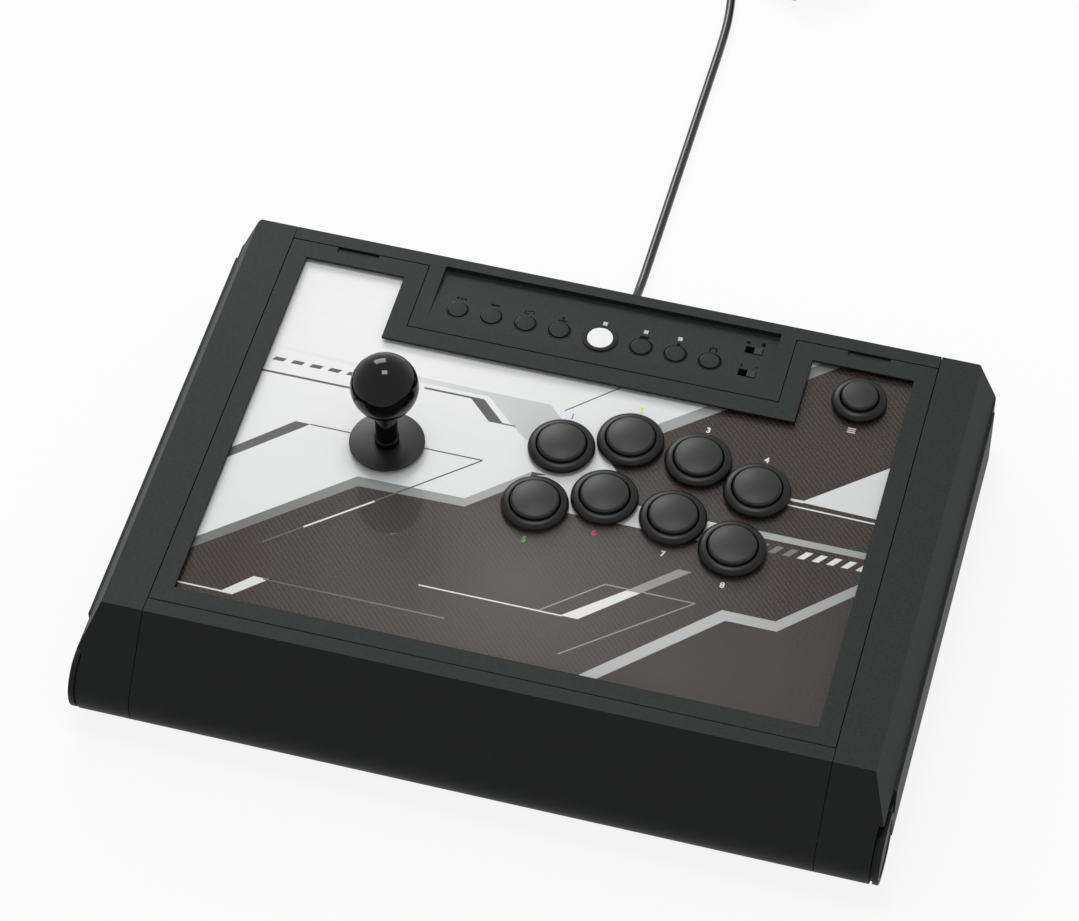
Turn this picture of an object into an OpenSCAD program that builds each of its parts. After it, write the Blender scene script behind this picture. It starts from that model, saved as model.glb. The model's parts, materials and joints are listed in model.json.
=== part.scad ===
// Arcade joystick controller in a clamshell case: a ball-top lever, eight play buttons, one menu
// button and a strip of small controls on a lid that swings up about the roll along its front edge.
// X runs left to right, Y from front to rear, and Z = 0 is the table.

/* [Case] */
// Width over the hinge caps
body_w = 414; // [408:1:500]
// Depth from the front roll to the rear wall
body_d = 296.2; // [290:0.1:360]
// Height of the top face
top_h = 64; // [62:1:78]
// Height at which the lid and the base part
parting_h = 44; // [42:1:46]
// Radius of the roll along the front edge
roll_r = 18.5; // [17:0.5:19]
// Height of the roll's axis, which is the hinge
roll_h = 20.1; // [19.6:0.1:22]
// Lean of the front slope, from the table
slope_angle = 49.1; // [44:0.1:58]
// Wall thickness of the mouldings
wall = 2.5; // [2:0.1:3]
// Seam between two mouldings
seam = 0.4; // [0.2:0.1:0.6]
// Radius of the rear corners
corner_r = 6; // [3:0.5:10]
// Width of a cheek's top face
cheek_w = 21.5; // [18:0.5:24]
// How far the lid flares out from its top to the parting
flare = 8.8; // [5:0.1:10]

/* [Top panel] */
// Width of the bezel's border at the sides
border_side = 10.8; // [9:0.1:14]
// Width of the bezel's border at the front
border_front = 10; // [8:0.1:14]
// Width of the bezel's border at the rear
border_rear = 11.3; // [10:0.1:14]
// Half width of the strip that holds the small controls
strip_half = 99.7; // [98:0.1:104]
// Depth of that strip, from the bezel's rear seam
strip_d = 43.4; // [42:0.1:46]
// Thickness of the bezel over the clear cover
bezel_t = 1.5; // [1.2:0.1:2]
// Thickness of the clear cover
cover_t = 2; // [1.5:0.1:2.4]
// Thickness of the printed sheet
sheet_t = 0.3; // [0.2:0.1:0.5]
// Thickness of the steel panel
panel_t = 1.6; // [1.2:0.1:2]

/* [Lever] */
// Diameter of the ball
ball_d = 35; // [30:0.5:38]
// Height of the ball's centre over the top face
ball_rise = 43.5; // [40:0.5:50]
// Depth of the pivot under the top face
pivot_drop = 15; // [13:0.5:16]
// Diameter of the shaft
shaft_d = 7; // [6:0.5:8]
// Diameter of the sleeve over the shaft
sleeve_d = 11.5; // [10.5:0.1:12]
// Diameter of the dust washer
washer_d = 39; // [36:1:44]
// Greatest tilt each way, in degrees
tilt = 8.5; // [6:0.5:9]

/* [Buttons] */
// Body diameter of a play button
play_d = 30; // [29:0.1:30.4]
// Body diameter of the menu button
menu_d = 24; // [23:0.1:24.4]
// Travel of a play button
play_travel = 3; // [2:0.1:3.5]
// Distance from one row of play buttons to the other
row_pitch = 39.2; // [37:0.1:42]
// Diameter of a small control button
small_d = 11.4; // [10:0.1:12]
// Distance from one small control button to the next
small_pitch = 18.4; // [17:0.1:18.8]
// Travel of a small control button
small_travel = 0.8; // [0.5:0.1:1]

/* [Cord] */
// Diameter of the cord
cord_d = 5; // [4:0.5:5]
// Turns in the coil, as layers and turns in each layer
coil_side = 4; // [3:1:5]

/* [Hidden] */

$fn = 64;
eps = 1; // how far a cut runs past the face that it opens

case_black = "#2a2b2b";
gloss_black = "#0c0c0c";
cap_black = "#1c1c1c";
steel_grey = "#9a9c9f";
board_green = "#1f5f3a";
switch_black = "#151515";
print_grey = "#8a8a88";
rubber_black = "#1a1a1a";
white_grey = "#d8d8d8";

// Clearances
gap = 0.3;          // between parts of different bodies
run_fit = 0.08;     // radial, of a pin in its bore
cap_gap = 0.3;      // radial, of a button in its guide
hole_gap = 0.2;     // radial, of a housing in a panel hole
washer_gap = 0.4;   // radial, of the dust washer round the tilting sleeve

// The case
half_w = body_w / 2;
half_d = body_d / 2;
floor_h = 2;
floor_t = 2.5;
foot_d = 22;
roll_y = roll_r - half_d;
rear_y = half_d;
rear_bevel = 1.4;
cheek_end = half_w - 4.6;       // where a cheek's roll stops beside the hinge cap
ear_x = cheek_end + seam;
cap_x = half_w - 3;
base_half = half_w - 1.1;       // base wall without its raised band
band_front = roll_y + 19.2;
band_rear = rear_y - 13.5;
top_half = base_half - 9.5;
seam_x = top_half - cheek_w;
shoulder_half = top_half + flare;
tangent_angle = 90 + slope_angle;
roll_end_angle = 235;
reach = 60; // longer than any distance from the roll's axis that a wedge must cover

function on_roll(radius, angle) = [roll_y + radius * cos(angle), roll_h + radius * sin(angle)];
// Point of the front slope, inset by a thickness, at a given height
function slope_at(inset, height) =
    let (start = on_roll(roll_r - inset, tangent_angle))
    [start[0] + (height - start[1]) / tan(slope_angle), height];

front_y = slope_at(0, top_h)[0];

// The stack of panels on the lid's deck
cover_top = top_h - bezel_t;
sheet_top = cover_top - cover_t;
panel_top = sheet_top - sheet_t;
deck_top = panel_top - panel_t;
deck_t = 2.4;
deck_half = top_half - 0.9;
deck_front = front_y + 1.5;
deck_rear = rear_y - 3;
bezel_front = front_y + 8.2;
bezel_rear = rear_y - 9.5;
strip_front = bezel_rear - strip_d;
window_half = seam_x - border_side;
window_front = bezel_front + border_front;
window_rear = bezel_rear - border_rear;
notch_border = 10.7;
screw_d = 3;
screw_places = [for (x = [-1, 1]) for (y = [bezel_front + 9, 0, window_rear + 4])
    [x * (window_half + 3), y]];
skirt_w = 3.3;

// The control strip
recess_half = 91;
recess_front = strip_front + 8.7;
recess_rear = rear_y - 7.7;
recess_depth = 3;
strip_bottom = top_h - recess_depth - wall;
small_y = recess_front + 9.4;
home_gap = 22;
home_d = 14;
board_top = top_h - 11;
switch_x = 79.3;
lock_y = small_y + 13.8;
mode_y = small_y - 3.2;
knob = [4.4, 4.4];
knob_travel = 4;
slot = [knob[0] + knob_travel + 1, knob[1] + 2 * gap];
light_w = 2.6;
function recess_at(y) = top_h - recess_depth * (y - recess_front) / (recess_rear - recess_front);
small_x = [for (k = [3 : -1 : 0]) -home_gap - k * small_pitch,
    for (k = [0 : 2]) home_gap + k * small_pitch];
light_x = [0, home_gap, home_gap + small_pitch];

// The lever
lever_x = -88.1;
lever_y = window_front + 116.6;
pivot_h = top_h - pivot_drop;
ball_h = top_h + ball_rise;
lever_hole_d = 24;
washer_bottom = cover_top + gap;
washer_t = 1.2;
collar_h = washer_bottom + washer_t + 2.2;
plate_t = 1.6;
plate_bottom = deck_top - plate_t;
housing_w = 60;
housing_bottom = pivot_h - 14.6;
gate_t = 3;
gate_bottom = housing_bottom - gate_t;
shaft_bottom = gate_bottom - 3;
pivot_r = 10.3;
pivot_ball_r = 7;
pivot_half = 5;
lever_well_d = 22.8;
trunnion_d = 4;
trunnion_x = 13;
actuator_r = 5.5;
seat_t = 1.5;
spring_wire = 0.4;
actuator_top = pivot_h - 11.2;
spring_l = pivot_h - pivot_half - actuator_top - seat_t - 2 * spring_wire - gap;
// The gate stops the actuator at the lever's greatest tilt
gate_half = actuator_r + (pivot_h - gate_bottom) * sin(tilt) + gap;
lower_washer_d = 28;
lower_washer_hole = 17.6;
lower_washer_well = 34;

// The buttons: place of each play button from the panel's centre line and the lever's row
play_xy = [[-1.1, 20], [32, 33], [68.6, 29.2], [102, 17.8]];
row_lean = -3.6;
play_places = [for (row = [0, 1]) for (p = play_xy)
    [p[0] + row * row_lean, lever_y + p[1] - row * row_pitch]];
menu_place = [window_half - 24.6, window_rear - 19.6];
rim_over = 2.4;       // how far a rim overhangs its body
rim_h = 3.4;
cap_rise = 2.6;       // crown of a cap over its rim
housing_bottom_h = cover_top - 18;
housing_wall = 1.5;
housing_base = 2;
cap_skirt = 9;
cap_edge = 1.6;
crown_r = 60;

// Latches
latch_x = half_w - 52;
latch_w = 24;
latch_h = 26;
latch_travel = 3;
latch_bar = rear_y - 22;      // front face of the latch's bar
latch_rib = latch_bar - latch_travel - 2;
latch_wire = 0.3;

// The cord's route, lying straight back from the gland
gland_h = 12;
gland_len = 24;
cord_r = cord_d / 2;
cord_lift = cord_r + 0.1;
coil_mid_r = 6 * cord_d;
coil_half = coil_side * cord_r;
coil_y = rear_y + 335;
coil_x = coil_mid_r;
cord_path = [
    [0, rear_y - 13, gland_h], [0, rear_y + 2, gland_h], [0, rear_y + 14, gland_h],
    [0, rear_y + 23, gland_h - 0.4], [0, rear_y + 32, gland_h - 2.2],
    [0, rear_y + 41, gland_h - 4.9], [0, rear_y + 50, gland_h - 7.6],
    [0, rear_y + 60, cord_lift + 0.5], [0, rear_y + 70, cord_lift], [0, rear_y + 85, cord_lift],
    [0, rear_y + 100, cord_lift], [0, rear_y + 120, cord_lift], [0, rear_y + 140, cord_lift],
    [0, rear_y + 165, cord_lift], [0, rear_y + 190, cord_lift], [0, rear_y + 215, cord_lift],
    [0, rear_y + 240, cord_lift], [0, rear_y + 265, cord_lift], [0, rear_y + 290, cord_lift],
    [0, coil_y - 24, cord_lift]];
tail_y = coil_y + coil_mid_r;
tail_r = coil_mid_r + coil_half - cord_r;
tail_top = cord_lift + (coil_side - 1) * cord_d;
// From the coil's top outer turn down to the plug
tail_path = [
    [coil_x + 14, coil_y + tail_r - 0.2, tail_top - 1.6], [coil_x + 28, coil_y + tail_r - 2, tail_top - 8],
    [coil_x + 40, tail_y + 2.7, cord_lift + 3.8], [coil_x + 52, tail_y + 0.7, cord_lift + 1.8],
    [coil_x + 68, tail_y, cord_lift + 1.4]];
plug_x = coil_x + 66;
plug_h = cord_lift + 1.4;

// ---- shared shapes

// A profile in Y and Z, extruded along X
module along_x(x0, x1) translate([x0, 0, 0]) rotate([90, 0, 90]) linear_extrude(x1 - x0) children();

// A profile in X and Z, extruded along Y
module along_y(y0, y1) translate([0, y1, 0]) rotate([90, 0, 0]) linear_extrude(y1 - y0) children();

// A box given by its two opposite corners
module box(low, high) translate(low) cube([for (k = [0 : 2]) high[k] - low[k]]);

module box2(low, high) translate(low) square([high[0] - low[0], high[1] - low[1]]);

module rod(d, z0, z1) translate([0, 0, z0]) cylinder(h = z1 - z0, d = d);

module tube(outer, inner, z0, z1) difference() {
    rod(outer, z0, z1);
    rod(inner, z0 - eps, z1 + eps);
}

module rod_x(r, x0, x1, centre = [0, 0]) translate([x0, centre[0], centre[1]]) rotate([0, 90, 0])
    cylinder(h = x1 - x0, r = r);

module mirrored() for (side = [0, 1]) mirror([side, 0, 0]) children();

// Plan of the case: square at the front, rounded at the rear
module plan(half, y0, y1, r) {
    box2([-half, y0], [half, y1 - r]);
    box2([-half + r, y1 - r - eps], [half - r, y1]);
    for (side = [-1, 1]) translate([side * (half - r), y1 - r]) circle(r);
}

// Wedge of a circle about the roll's axis, between two angles
module roll_wedge(from, to) polygon(concat([[roll_y, roll_h]],
    [for (k = [0 : 3]) on_roll(reach, from + (to - from) * k / 3)]));

// A round tube swept through a list of points
function unit(v) = v / norm(v);
function heading(points, i) =
    unit(points[min(i + 1, len(points) - 1)] - points[max(i - 1, 0)]);
module swept_tube(points, r, sides = 10) {
    last = len(points) - 1;
    rings = [for (i = [0 : last]) let (
        along = heading(points, i),
        across = unit(cross(along, abs(along[2]) > 0.9 ? [1, 0, 0] : [0, 0, 1])),
        up = cross(across, along))
        for (k = [0 : sides - 1]) let (a = 360 * k / sides)
            points[i] + r * (cos(a) * across + sin(a) * up)];
    skin = [for (i = [0 : last - 1]) for (k = [0 : sides - 1]) let (n = (k + 1) % sides)
        [i * sides + k, i * sides + n, (i + 1) * sides + n, (i + 1) * sides + k]];
    ends = [[for (k = [sides - 1 : -1 : 0]) k], [for (k = [0 : sides - 1]) last * sides + k]];
    polyhedron(rings, concat(skin, ends));
}

function spring_points(coil_r, length, turns, steps = 10) =
    [for (i = [0 : turns * steps]) let (a = 360 * i / steps)
        [coil_r * cos(a), coil_r * sin(a), length * i / (turns * steps)]];

// ---- base

module trough() intersection() {
    rod_x(roll_r + 0.6 + wall, -ear_x, ear_x, [roll_y, roll_h]);
    box([-ear_x, roll_y + 7, floor_h], [ear_x, roll_y + 30, roll_h + 4]);
}

module base_ear() {
    rod_x(roll_r - 1.7, ear_x, cap_x, [roll_y, roll_h]);
    box([ear_x, roll_y + 6, floor_h], [base_half, band_front + wall, roll_h + 13]);
}

module base_tray() color(case_black) difference() {
    union() {
        translate([0, 0, floor_h]) linear_extrude(parting_h - gap - floor_h)
            plan(base_half, band_front, rear_y, corner_r);
        translate([0, 0, floor_h]) linear_extrude(floor_t)
            box2([-ear_x, roll_y + 4], [ear_x, band_front + eps]);
        trough();
        mirrored() {
            base_ear();
            box([base_half - eps, band_front, floor_h + 2], [half_w, band_rear, parting_h - 1]);
        }
    }
    difference() {
        translate([0, 0, floor_h + floor_t]) linear_extrude(parting_h)
            plan(base_half - wall, band_front - 8, rear_y - wall, corner_r - wall);
        trough();
        for (side = [-1, 1]) for (y = [-60, 0, 60])
            box([side * 60 - 50, y - 1, floor_h], [side * 60 + 50, y + 1, floor_h + floor_t + 4]);
        for (side = [-1, 1]) translate([side * 30, rear_y - 42, 0]) rod(8, floor_h, gland_h - 3.6);
        for (side = [-1, 1]) box([side * latch_x - 8, latch_rib - 2, floor_h],
            [side * latch_x + 8, latch_rib, latch_h + 2]);
        for (side = [-1, 1]) box([side * latch_x - 16, rear_y - 26, floor_h],
            [side * latch_x + 16, rear_y - wall, latch_h - 8.4]);
    }
    rod_x(roll_r + 0.6, -ear_x, ear_x, [roll_y, roll_h]);
    mirrored() {
        rod_x(roll_r - 0.2, cap_x, half_w + eps, [roll_y, roll_h]);
        rod_x(3, ear_x - eps, cap_x + eps, [roll_y, roll_h]);
    }
    for (side = [-1, 1]) translate([side * latch_x, 0, latch_h])
        box([-latch_w / 2 - gap, rear_y - wall - eps, -6 - gap],
            [latch_w / 2 + gap, rear_y + eps, 6 + gap]);
    translate([0, rear_y + eps, gland_h]) rotate([90, 0, 0]) cylinder(h = wall + 2 * eps, d = 10);
}

module rubber_feet() color(rubber_black)
    for (side = [-1, 1]) for (y = [roll_y + 30, 0, rear_y - 22])
        translate([side * (half_w - 30), y, 0]) rod(foot_d, 0, floor_h);

module hinge_caps() color(case_black) mirrored() difference() {
    rod_x(roll_r - 0.3, cap_x, half_w, [roll_y, roll_h]);
    rod_x(roll_r - 4, half_w - 0.6, half_w + eps, [roll_y, roll_h]);
    rod_x(3, cap_x - eps, cap_x + 1.2, [roll_y, roll_h]);
}

module hinge_pins() color(steel_grey) mirrored()
    rod_x(3, cheek_end - 10, cap_x + 1.2, [roll_y, roll_h]);

// A push button in the rear wall with two arms to the bar that holds the lid's catch
module latch(side) color(cap_black) translate([side * latch_x, 0, latch_h]) {
    box([-latch_w / 2, rear_y - 5, -6], [latch_w / 2, rear_y - 0.2, 6]);
    for (arm = [-1, 1]) translate([arm * 10, 0, 0])
        box([-2, rear_y - 21, -6], [2, rear_y - 5, -2]);
    box([-12, latch_bar, -6], [12, latch_bar + 5, -2]);
}
module left_latch() latch(-1);
module right_latch() latch(1);

module latch_springs() color(steel_grey) for (side = [-1, 1])
    translate([side * latch_x, latch_bar - latch_wire - 0.1, latch_h - 4]) rotate([90, 0, 0])
        swept_tube(spring_points(2, latch_travel + 2 - 2 * latch_wire - 0.2, 4), latch_wire, 6);

module main_board() {
    color(board_green) box([-38, rear_y - 50, gland_h - 3.6], [38, rear_y - 18, gland_h - 2]);
    color(switch_black) {
        box([-8, rear_y - 40, gland_h - 2], [8, rear_y - 28, gland_h]);
        box([-5, rear_y - 24, gland_h - 2], [5, rear_y - 13, gland_h + 4]);
    }
}

module cord_gland() color(rubber_black) translate([0, rear_y, gland_h]) rotate([-90, 0, 0])
    rotate_extrude() polygon([[cord_r, -wall - 1.6], [7.2, -wall - 1.6], [7.2, -wall], [4.9, -wall],
        [4.9, 0], [6.6, 0], [6.6, 2], [5, 3.4], [3.6, gland_len], [cord_r, gland_len]]);

module cord() color(rubber_black) {
    swept_tube(cord_path, cord_r);
    swept_tube(tail_path, cord_r);
}

module cord_coil() color(rubber_black) translate([coil_x, coil_y, 0]) rotate_extrude()
    translate([coil_mid_r, coil_half + 0.1]) {
        square([2 * coil_half - cord_d, 2 * coil_half], center = true);
        square([2 * coil_half, 2 * coil_half - cord_d], center = true);
        for (sx = [-1, 1]) for (sz = [-1, 1])
            translate([sx * (coil_half - cord_r), sz * (coil_half - cord_r)]) circle(cord_r, $fn = 24);
    }

module usb_plug() translate([plug_x, tail_y, plug_h]) {
    color(rubber_black) {
        rotate([0, 90, 0]) rotate_extrude()
            polygon([[cord_r, 0], [3.2, 0], [4, 12], [cord_r, 12]]);
        box([12, -8, -4], [36, 8, 4]);
    }
    color(steel_grey) difference() {
        box([36, -6, -2.25], [48, 6, 2.25]);
        box([37, -5.4, -1.6], [49, 5.4, 1.6]);
    }
    color(white_grey) box([37, -5.4, -1.6], [47, 5.4, 0]);
}

module cord_tie() color(rubber_black) translate([coil_x, coil_y - coil_mid_r, coil_half + 0.1])
    difference() {
        along_x(-3, 3) square(2 * coil_half + 2.4, center = true);
        along_x(-3 - eps, 3 + eps) square(2 * coil_half, center = true);
        box([-4, -coil_half - 2, -coil_half - 2], [4, coil_half + 2, -coil_half]);
    }

// ---- lid mouldings

module front_wall() {
    polygon([on_roll(roll_r, tangent_angle), slope_at(0, top_h), slope_at(wall, top_h),
        on_roll(roll_r - wall, tangent_angle)]);
    roll_wall(roll_r - wall);
}

module roll_wall(inner) intersection() {
    difference() {
        translate([roll_y, roll_h]) circle(roll_r, $fn = 96);
        if (inner > 0) translate([roll_y, roll_h]) circle(inner, $fn = 96);
    }
    roll_wedge(tangent_angle - 1, roll_end_angle);
}

module strip_plan(grow) box2([-strip_half - grow, strip_front - grow], [strip_half + grow, bezel_rear]);

module lid_shell() color(case_black) {
    lid_body();
    // the ring round the home button
    translate([0, small_y, recess_at(small_y)]) tube(home_d + 4, home_d + 2 * cap_gap, -0.8, 0.6);
}

module lid_body() difference() {
    union() {
        along_x(-seam_x + seam / 2, seam_x - seam / 2) {
            front_wall();
            polygon([slope_at(0, top_h), [bezel_front - seam / 2, top_h],
                [bezel_front - seam / 2, deck_top - eps], slope_at(wall / 2, deck_top - eps),
                slope_at(wall / 2, top_h)]);
            polygon([[bezel_rear + seam / 2, top_h], [rear_y - rear_bevel, top_h],
                [rear_y, top_h - 3], [rear_y, parting_h], [rear_y - wall, parting_h],
                [rear_y - wall, deck_top - eps], [bezel_rear + seam / 2, deck_top - eps]]);
        }
        // the deck that carries the panels, the bezel and the cheeks
        box([-deck_half, deck_front, deck_top - deck_t], [deck_half, deck_rear, deck_top]);
        box([-strip_half + seam, strip_front + seam, deck_top - eps],
            [strip_half - seam, bezel_rear + eps, top_h]);
    }
    // the deck's opening, clear of the strip
    box([-window_half + 6, window_front + 6, deck_top - deck_t - eps],
        [window_half - 6, strip_front - 4, deck_top + eps]);
    for (side = [-1, 1]) box([side * 135 - 22, strip_front - 5, deck_top - deck_t - eps],
        [side * 135 + 22, window_rear - 4, deck_top + eps]);
    // the hollow under the strip
    box([-strip_half + 4, strip_front + 5, deck_top - deck_t - eps],
        [strip_half - 4, deck_rear - 6, strip_bottom]);
    // the sloping recess
    along_x(-recess_half, recess_half) polygon([[recess_front, top_h], [recess_rear, top_h - recess_depth],
        [recess_rear, top_h + eps], [recess_front, top_h + eps]]);
    strip_holes();
    for (p = screw_places) translate(p) rod(screw_d + hole_gap, deck_top - deck_t - eps, deck_top + eps);
}

// Openings in the strip for its buttons, switches and lights
module strip_holes() {
    for (x = small_x) translate([x, small_y, 0]) rod(small_d + 2 * cap_gap, deck_top - eps, top_h + eps);
    translate([0, small_y, 0]) rod(home_d + 2 * cap_gap, deck_top - eps, top_h + eps);
    for (y = [lock_y, mode_y]) translate([switch_x, y, 0])
        box([-slot[0] / 2, -slot[1] / 2, strip_bottom - eps], [slot[0] / 2, slot[1] / 2, top_h + eps]);
    for (x = light_x) translate([x, lock_y - 2.4, 0])
        box([-light_w / 2, -light_w / 2, strip_bottom - eps], [light_w / 2, light_w / 2, top_h + eps]);
}

// A cheek across X and Z: its outline, and the hollow behind its walls
module cheek_outline() polygon([[seam_x + seam / 2, parting_h], [seam_x + seam / 2, top_h],
    [top_half, top_h], [shoulder_half, parting_h]]);

module cheek_hollow() polygon([[seam_x - eps, parting_h - eps], [seam_x - eps, deck_top],
    [seam_x + 5, deck_top], [seam_x + 5, top_h - wall], [top_half - wall * 0.65, top_h - wall],
    [shoulder_half - wall, parting_h], [shoulder_half - wall, parting_h - eps]]);

// The lid from the side, above a given height
module lid_side(inset, low) polygon([slope_at(inset, low), slope_at(inset, top_h),
    [rear_y - inset - rear_bevel, top_h], [rear_y - inset, top_h - 3], [rear_y - inset, low]]);

module roll_end() {
    translate([roll_y, roll_h]) circle(roll_r - 0.6);
    polygon([[roll_y, roll_h], on_roll(roll_r - 1.2, tangent_angle), slope_at(1.2, parting_h + 3),
        [roll_y + 8, parting_h + 3], [roll_y + 8, roll_h]]);
}

module right_cheek() color(case_black) difference() {
    union() {
        difference() {
            intersection() {
                along_x(seam_x, half_w) lid_side(0, parting_h);
                along_y(-half_d, half_d) cheek_outline();
                linear_extrude(top_h + eps) plan(shoulder_half + eps, -half_d, rear_y, corner_r);
            }
            intersection() {
                along_x(seam_x - 2 * eps, half_w) lid_side(wall, parting_h - eps);
                along_y(-half_d, half_d) cheek_hollow();
                linear_extrude(top_h + eps)
                    plan(shoulder_half + eps - wall, -half_d, rear_y - wall, corner_r - wall);
            }
        }
        along_x(seam_x + seam / 2, cheek_end) {
            polygon([on_roll(roll_r, tangent_angle), slope_at(0, parting_h),
                slope_at(wall, parting_h), on_roll(roll_r - wall, tangent_angle)]);
            roll_wall(roll_r - wall);
        }
        // the closed end of the roll, with the bearing for the hinge pin
        along_x(cheek_end - 3, cheek_end - 0.05) roll_end();
        rod_x(6, cheek_end - 11, cheek_end - 2, [roll_y, roll_h]);
    }
    rod_x(3 + run_fit, cheek_end - 12, cheek_end + eps, [roll_y, roll_h]);
}
module left_cheek() mirror([1, 0, 0]) right_cheek();

// Plan of the panels under the bezel
module panel_plan(grow = 0) difference() {
    box2([-seam_x + skirt_w - grow, bezel_front + skirt_w - grow],
        [seam_x - skirt_w + grow, bezel_rear - skirt_w + grow]);
    box2([-strip_half - 4 + grow, strip_front - 4 + grow], [strip_half + 4 - grow, bezel_rear + eps]);
}

module window_plan() difference() {
    box2([-window_half, window_front], [window_half, window_rear]);
    box2([-strip_half - notch_border, strip_front - notch_border],
        [strip_half + notch_border, window_rear + eps]);
}

module bezel() color(case_black) difference() {
    translate([0, 0, deck_top]) linear_extrude(top_h - deck_top) difference() {
        box2([-seam_x + seam / 2, bezel_front + seam / 2], [seam_x - seam / 2, bezel_rear - seam / 2]);
        box2([-strip_half, strip_front], [strip_half, bezel_rear + eps]);
    }
    translate([0, 0, deck_top - eps]) linear_extrude(cover_top - deck_top + eps) panel_plan(0.2);
    translate([0, 0, deck_top]) linear_extrude(top_h) window_plan();
    // finger notches along the rear seam
    for (side = [-1, 1]) translate([side * (window_half - 25.7), bezel_rear - 3.4, 0])
        box([-11.2, 0, top_h - 1.2], [11.2, 4, top_h + eps]);
}

// Openings through the panels for the lever and the buttons
module panel_holes() {
    translate([lever_x, lever_y]) circle(d = lever_hole_d);
    for (p = play_places) translate(p) circle(r = play_d / 2 + hole_gap);
    translate(menu_place) circle(r = menu_d / 2 + hole_gap);
}

module panel_layer(z0, z1) translate([0, 0, z0]) linear_extrude(z1 - z0) difference() {
    panel_plan();
    panel_holes();
}
module clear_cover() color(white_grey) panel_layer(sheet_top, cover_top);
module art_sheet() color(print_grey) panel_layer(panel_top, sheet_top);
module steel_panel() color(steel_grey) difference() {
    panel_layer(deck_top, panel_top);
    for (p = screw_places) translate(p) rod(screw_d + hole_gap, deck_top - eps, panel_top + eps);
}

module panel_screws() color(steel_grey) for (p = screw_places) translate(p) {
    rod(screw_d, deck_top - deck_t - 3, panel_top);
    difference() { // the nut
        rod(6.4, deck_top - deck_t - 2.4, deck_top - deck_t);
        rod(screw_d, deck_top - deck_t - 3, deck_top);
    }
}

module control_board() {
    color(board_green) box([-94, strip_front + 8, board_top - 1.6], [94, deck_rear - 8, board_top]);
    color(case_black) for (x = [-90, 90]) translate([x, small_y + 14, 0])
        rod(7, board_top, strip_bottom);
    color(switch_black) {
        for (x = concat(small_x, [0])) translate([x, small_y, board_top])
            box([-3, -3, 0], [3, 3, 2]);
        for (y = [lock_y, mode_y]) translate([switch_x, y, board_top]) box([-5, -3, 0], [5, 3, 2]);
    }
}

module status_lights() color(white_grey) for (x = light_x) translate([x, lock_y - 2.4, 0])
    box([-light_w / 2 + 0.1, -light_w / 2 + 0.1, board_top],
        [light_w / 2 - 0.1, light_w / 2 - 0.1, recess_at(lock_y) + 0.3]);

// ---- lever, fixed parts

module at_lever() translate([lever_x, lever_y, 0]) children();
bolt_places = [for (x = [-1, 1]) for (y = [-1, 1]) [x * 42, y * 20]];

module lever_plate() color(steel_grey) at_lever() difference() {
    box([-47.5, -housing_w / 2, plate_bottom], [47.5, housing_w / 2, deck_top]);
    rod(lever_hole_d + 6, plate_bottom - eps, deck_top + eps);
}

module lever_housing() color(switch_black) at_lever() difference() {
    union() {
        box([-housing_w / 2, -housing_w / 2, housing_bottom], [housing_w / 2, housing_w / 2, plate_bottom]);
        for (p = bolt_places) translate(p) rod(9, plate_bottom - 5, plate_bottom);
        for (x = [-1, 1]) box([min(x * 28, x * 42), -housing_w / 2 + 6, plate_bottom - 4],
            [max(x * 28, x * 42), housing_w / 2 - 6, plate_bottom]);
    }
    box([-26, -26, housing_bottom - eps], [26, 26, pivot_h - 6]);
    rod(lever_well_d, housing_bottom, plate_bottom + eps);
    rod(lower_washer_well, plate_bottom - 1.8, plate_bottom + eps);
    rod_x(trunnion_d / 2 + run_fit, -trunnion_x - gap, trunnion_x + gap, [0, pivot_h]);
}

module lever_gate() color(switch_black) at_lever() difference() {
    box([-housing_w / 2, -housing_w / 2, gate_bottom], [housing_w / 2, housing_w / 2, housing_bottom]);
    box([-gate_half, -gate_half, gate_bottom - eps], [gate_half, gate_half, housing_bottom + eps]);
}

module lever_switches() at_lever() {
    color(board_green) difference() {
        box([-26, -26, housing_bottom], [26, 26, housing_bottom + 1.6]);
        box([-9.6, -9.6, housing_bottom - eps], [9.6, 9.6, housing_bottom + 3]);
    }
    color(switch_black) for (a = [0, 90, 180, 270]) rotate([0, 0, a])
        box([9.8, -10, housing_bottom + 1.6], [16.2, 10, housing_bottom + 7.6]);
}

// ---- lever, moving parts

module lever_pivot() color(white_grey) at_lever() translate([0, 0, pivot_h]) difference() {
    union() {
        intersection() {
            sphere(pivot_r, $fn = 72);
            cube([3 * pivot_r, 3 * pivot_r, 2 * pivot_half], center = true);
        }
        mirrored() rod_x(trunnion_d / 2, pivot_r - 2, trunnion_x);
    }
    sphere(pivot_ball_r + run_fit, $fn = 72);
    rod(2 * (pivot_ball_r - 1.8), -pivot_half - eps, pivot_half + eps);
}

module lever_shaft() color(steel_grey) at_lever() {
    rod(shaft_d, shaft_bottom, ball_h + 6);
    translate([0, 0, pivot_h]) sphere(pivot_ball_r, $fn = 72);
}

module shaft_sleeve() color(gloss_black) at_lever() difference() {
    union() {
        rod(sleeve_d, pivot_h + 7.4, ball_h - ball_d / 2 + 1.4);
        rod(sleeve_d + 1.4, collar_h, collar_h + 2.4);
    }
    rod(shaft_d, pivot_h, ball_h);
}

module ball_top() color(gloss_black) at_lever() difference() {
    translate([0, 0, ball_h]) sphere(ball_d / 2, $fn = 96);
    rod(shaft_d, ball_h - ball_d, ball_h + 6);
    rod(sleeve_d, ball_h - ball_d, ball_h - ball_d / 2 + 1.4);
}

module lever_spring() color(steel_grey) at_lever() translate([0, 0, actuator_top + seat_t + spring_wire])
    swept_tube(spring_points(5.4, spring_l, 3, 12), spring_wire, 6);

module spring_seat() color(white_grey) at_lever() tube(15, shaft_d, actuator_top, actuator_top + seat_t);

module lever_actuator() color(white_grey) at_lever()
    tube(2 * actuator_r, shaft_d, gate_bottom + 0.2, actuator_top);

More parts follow.
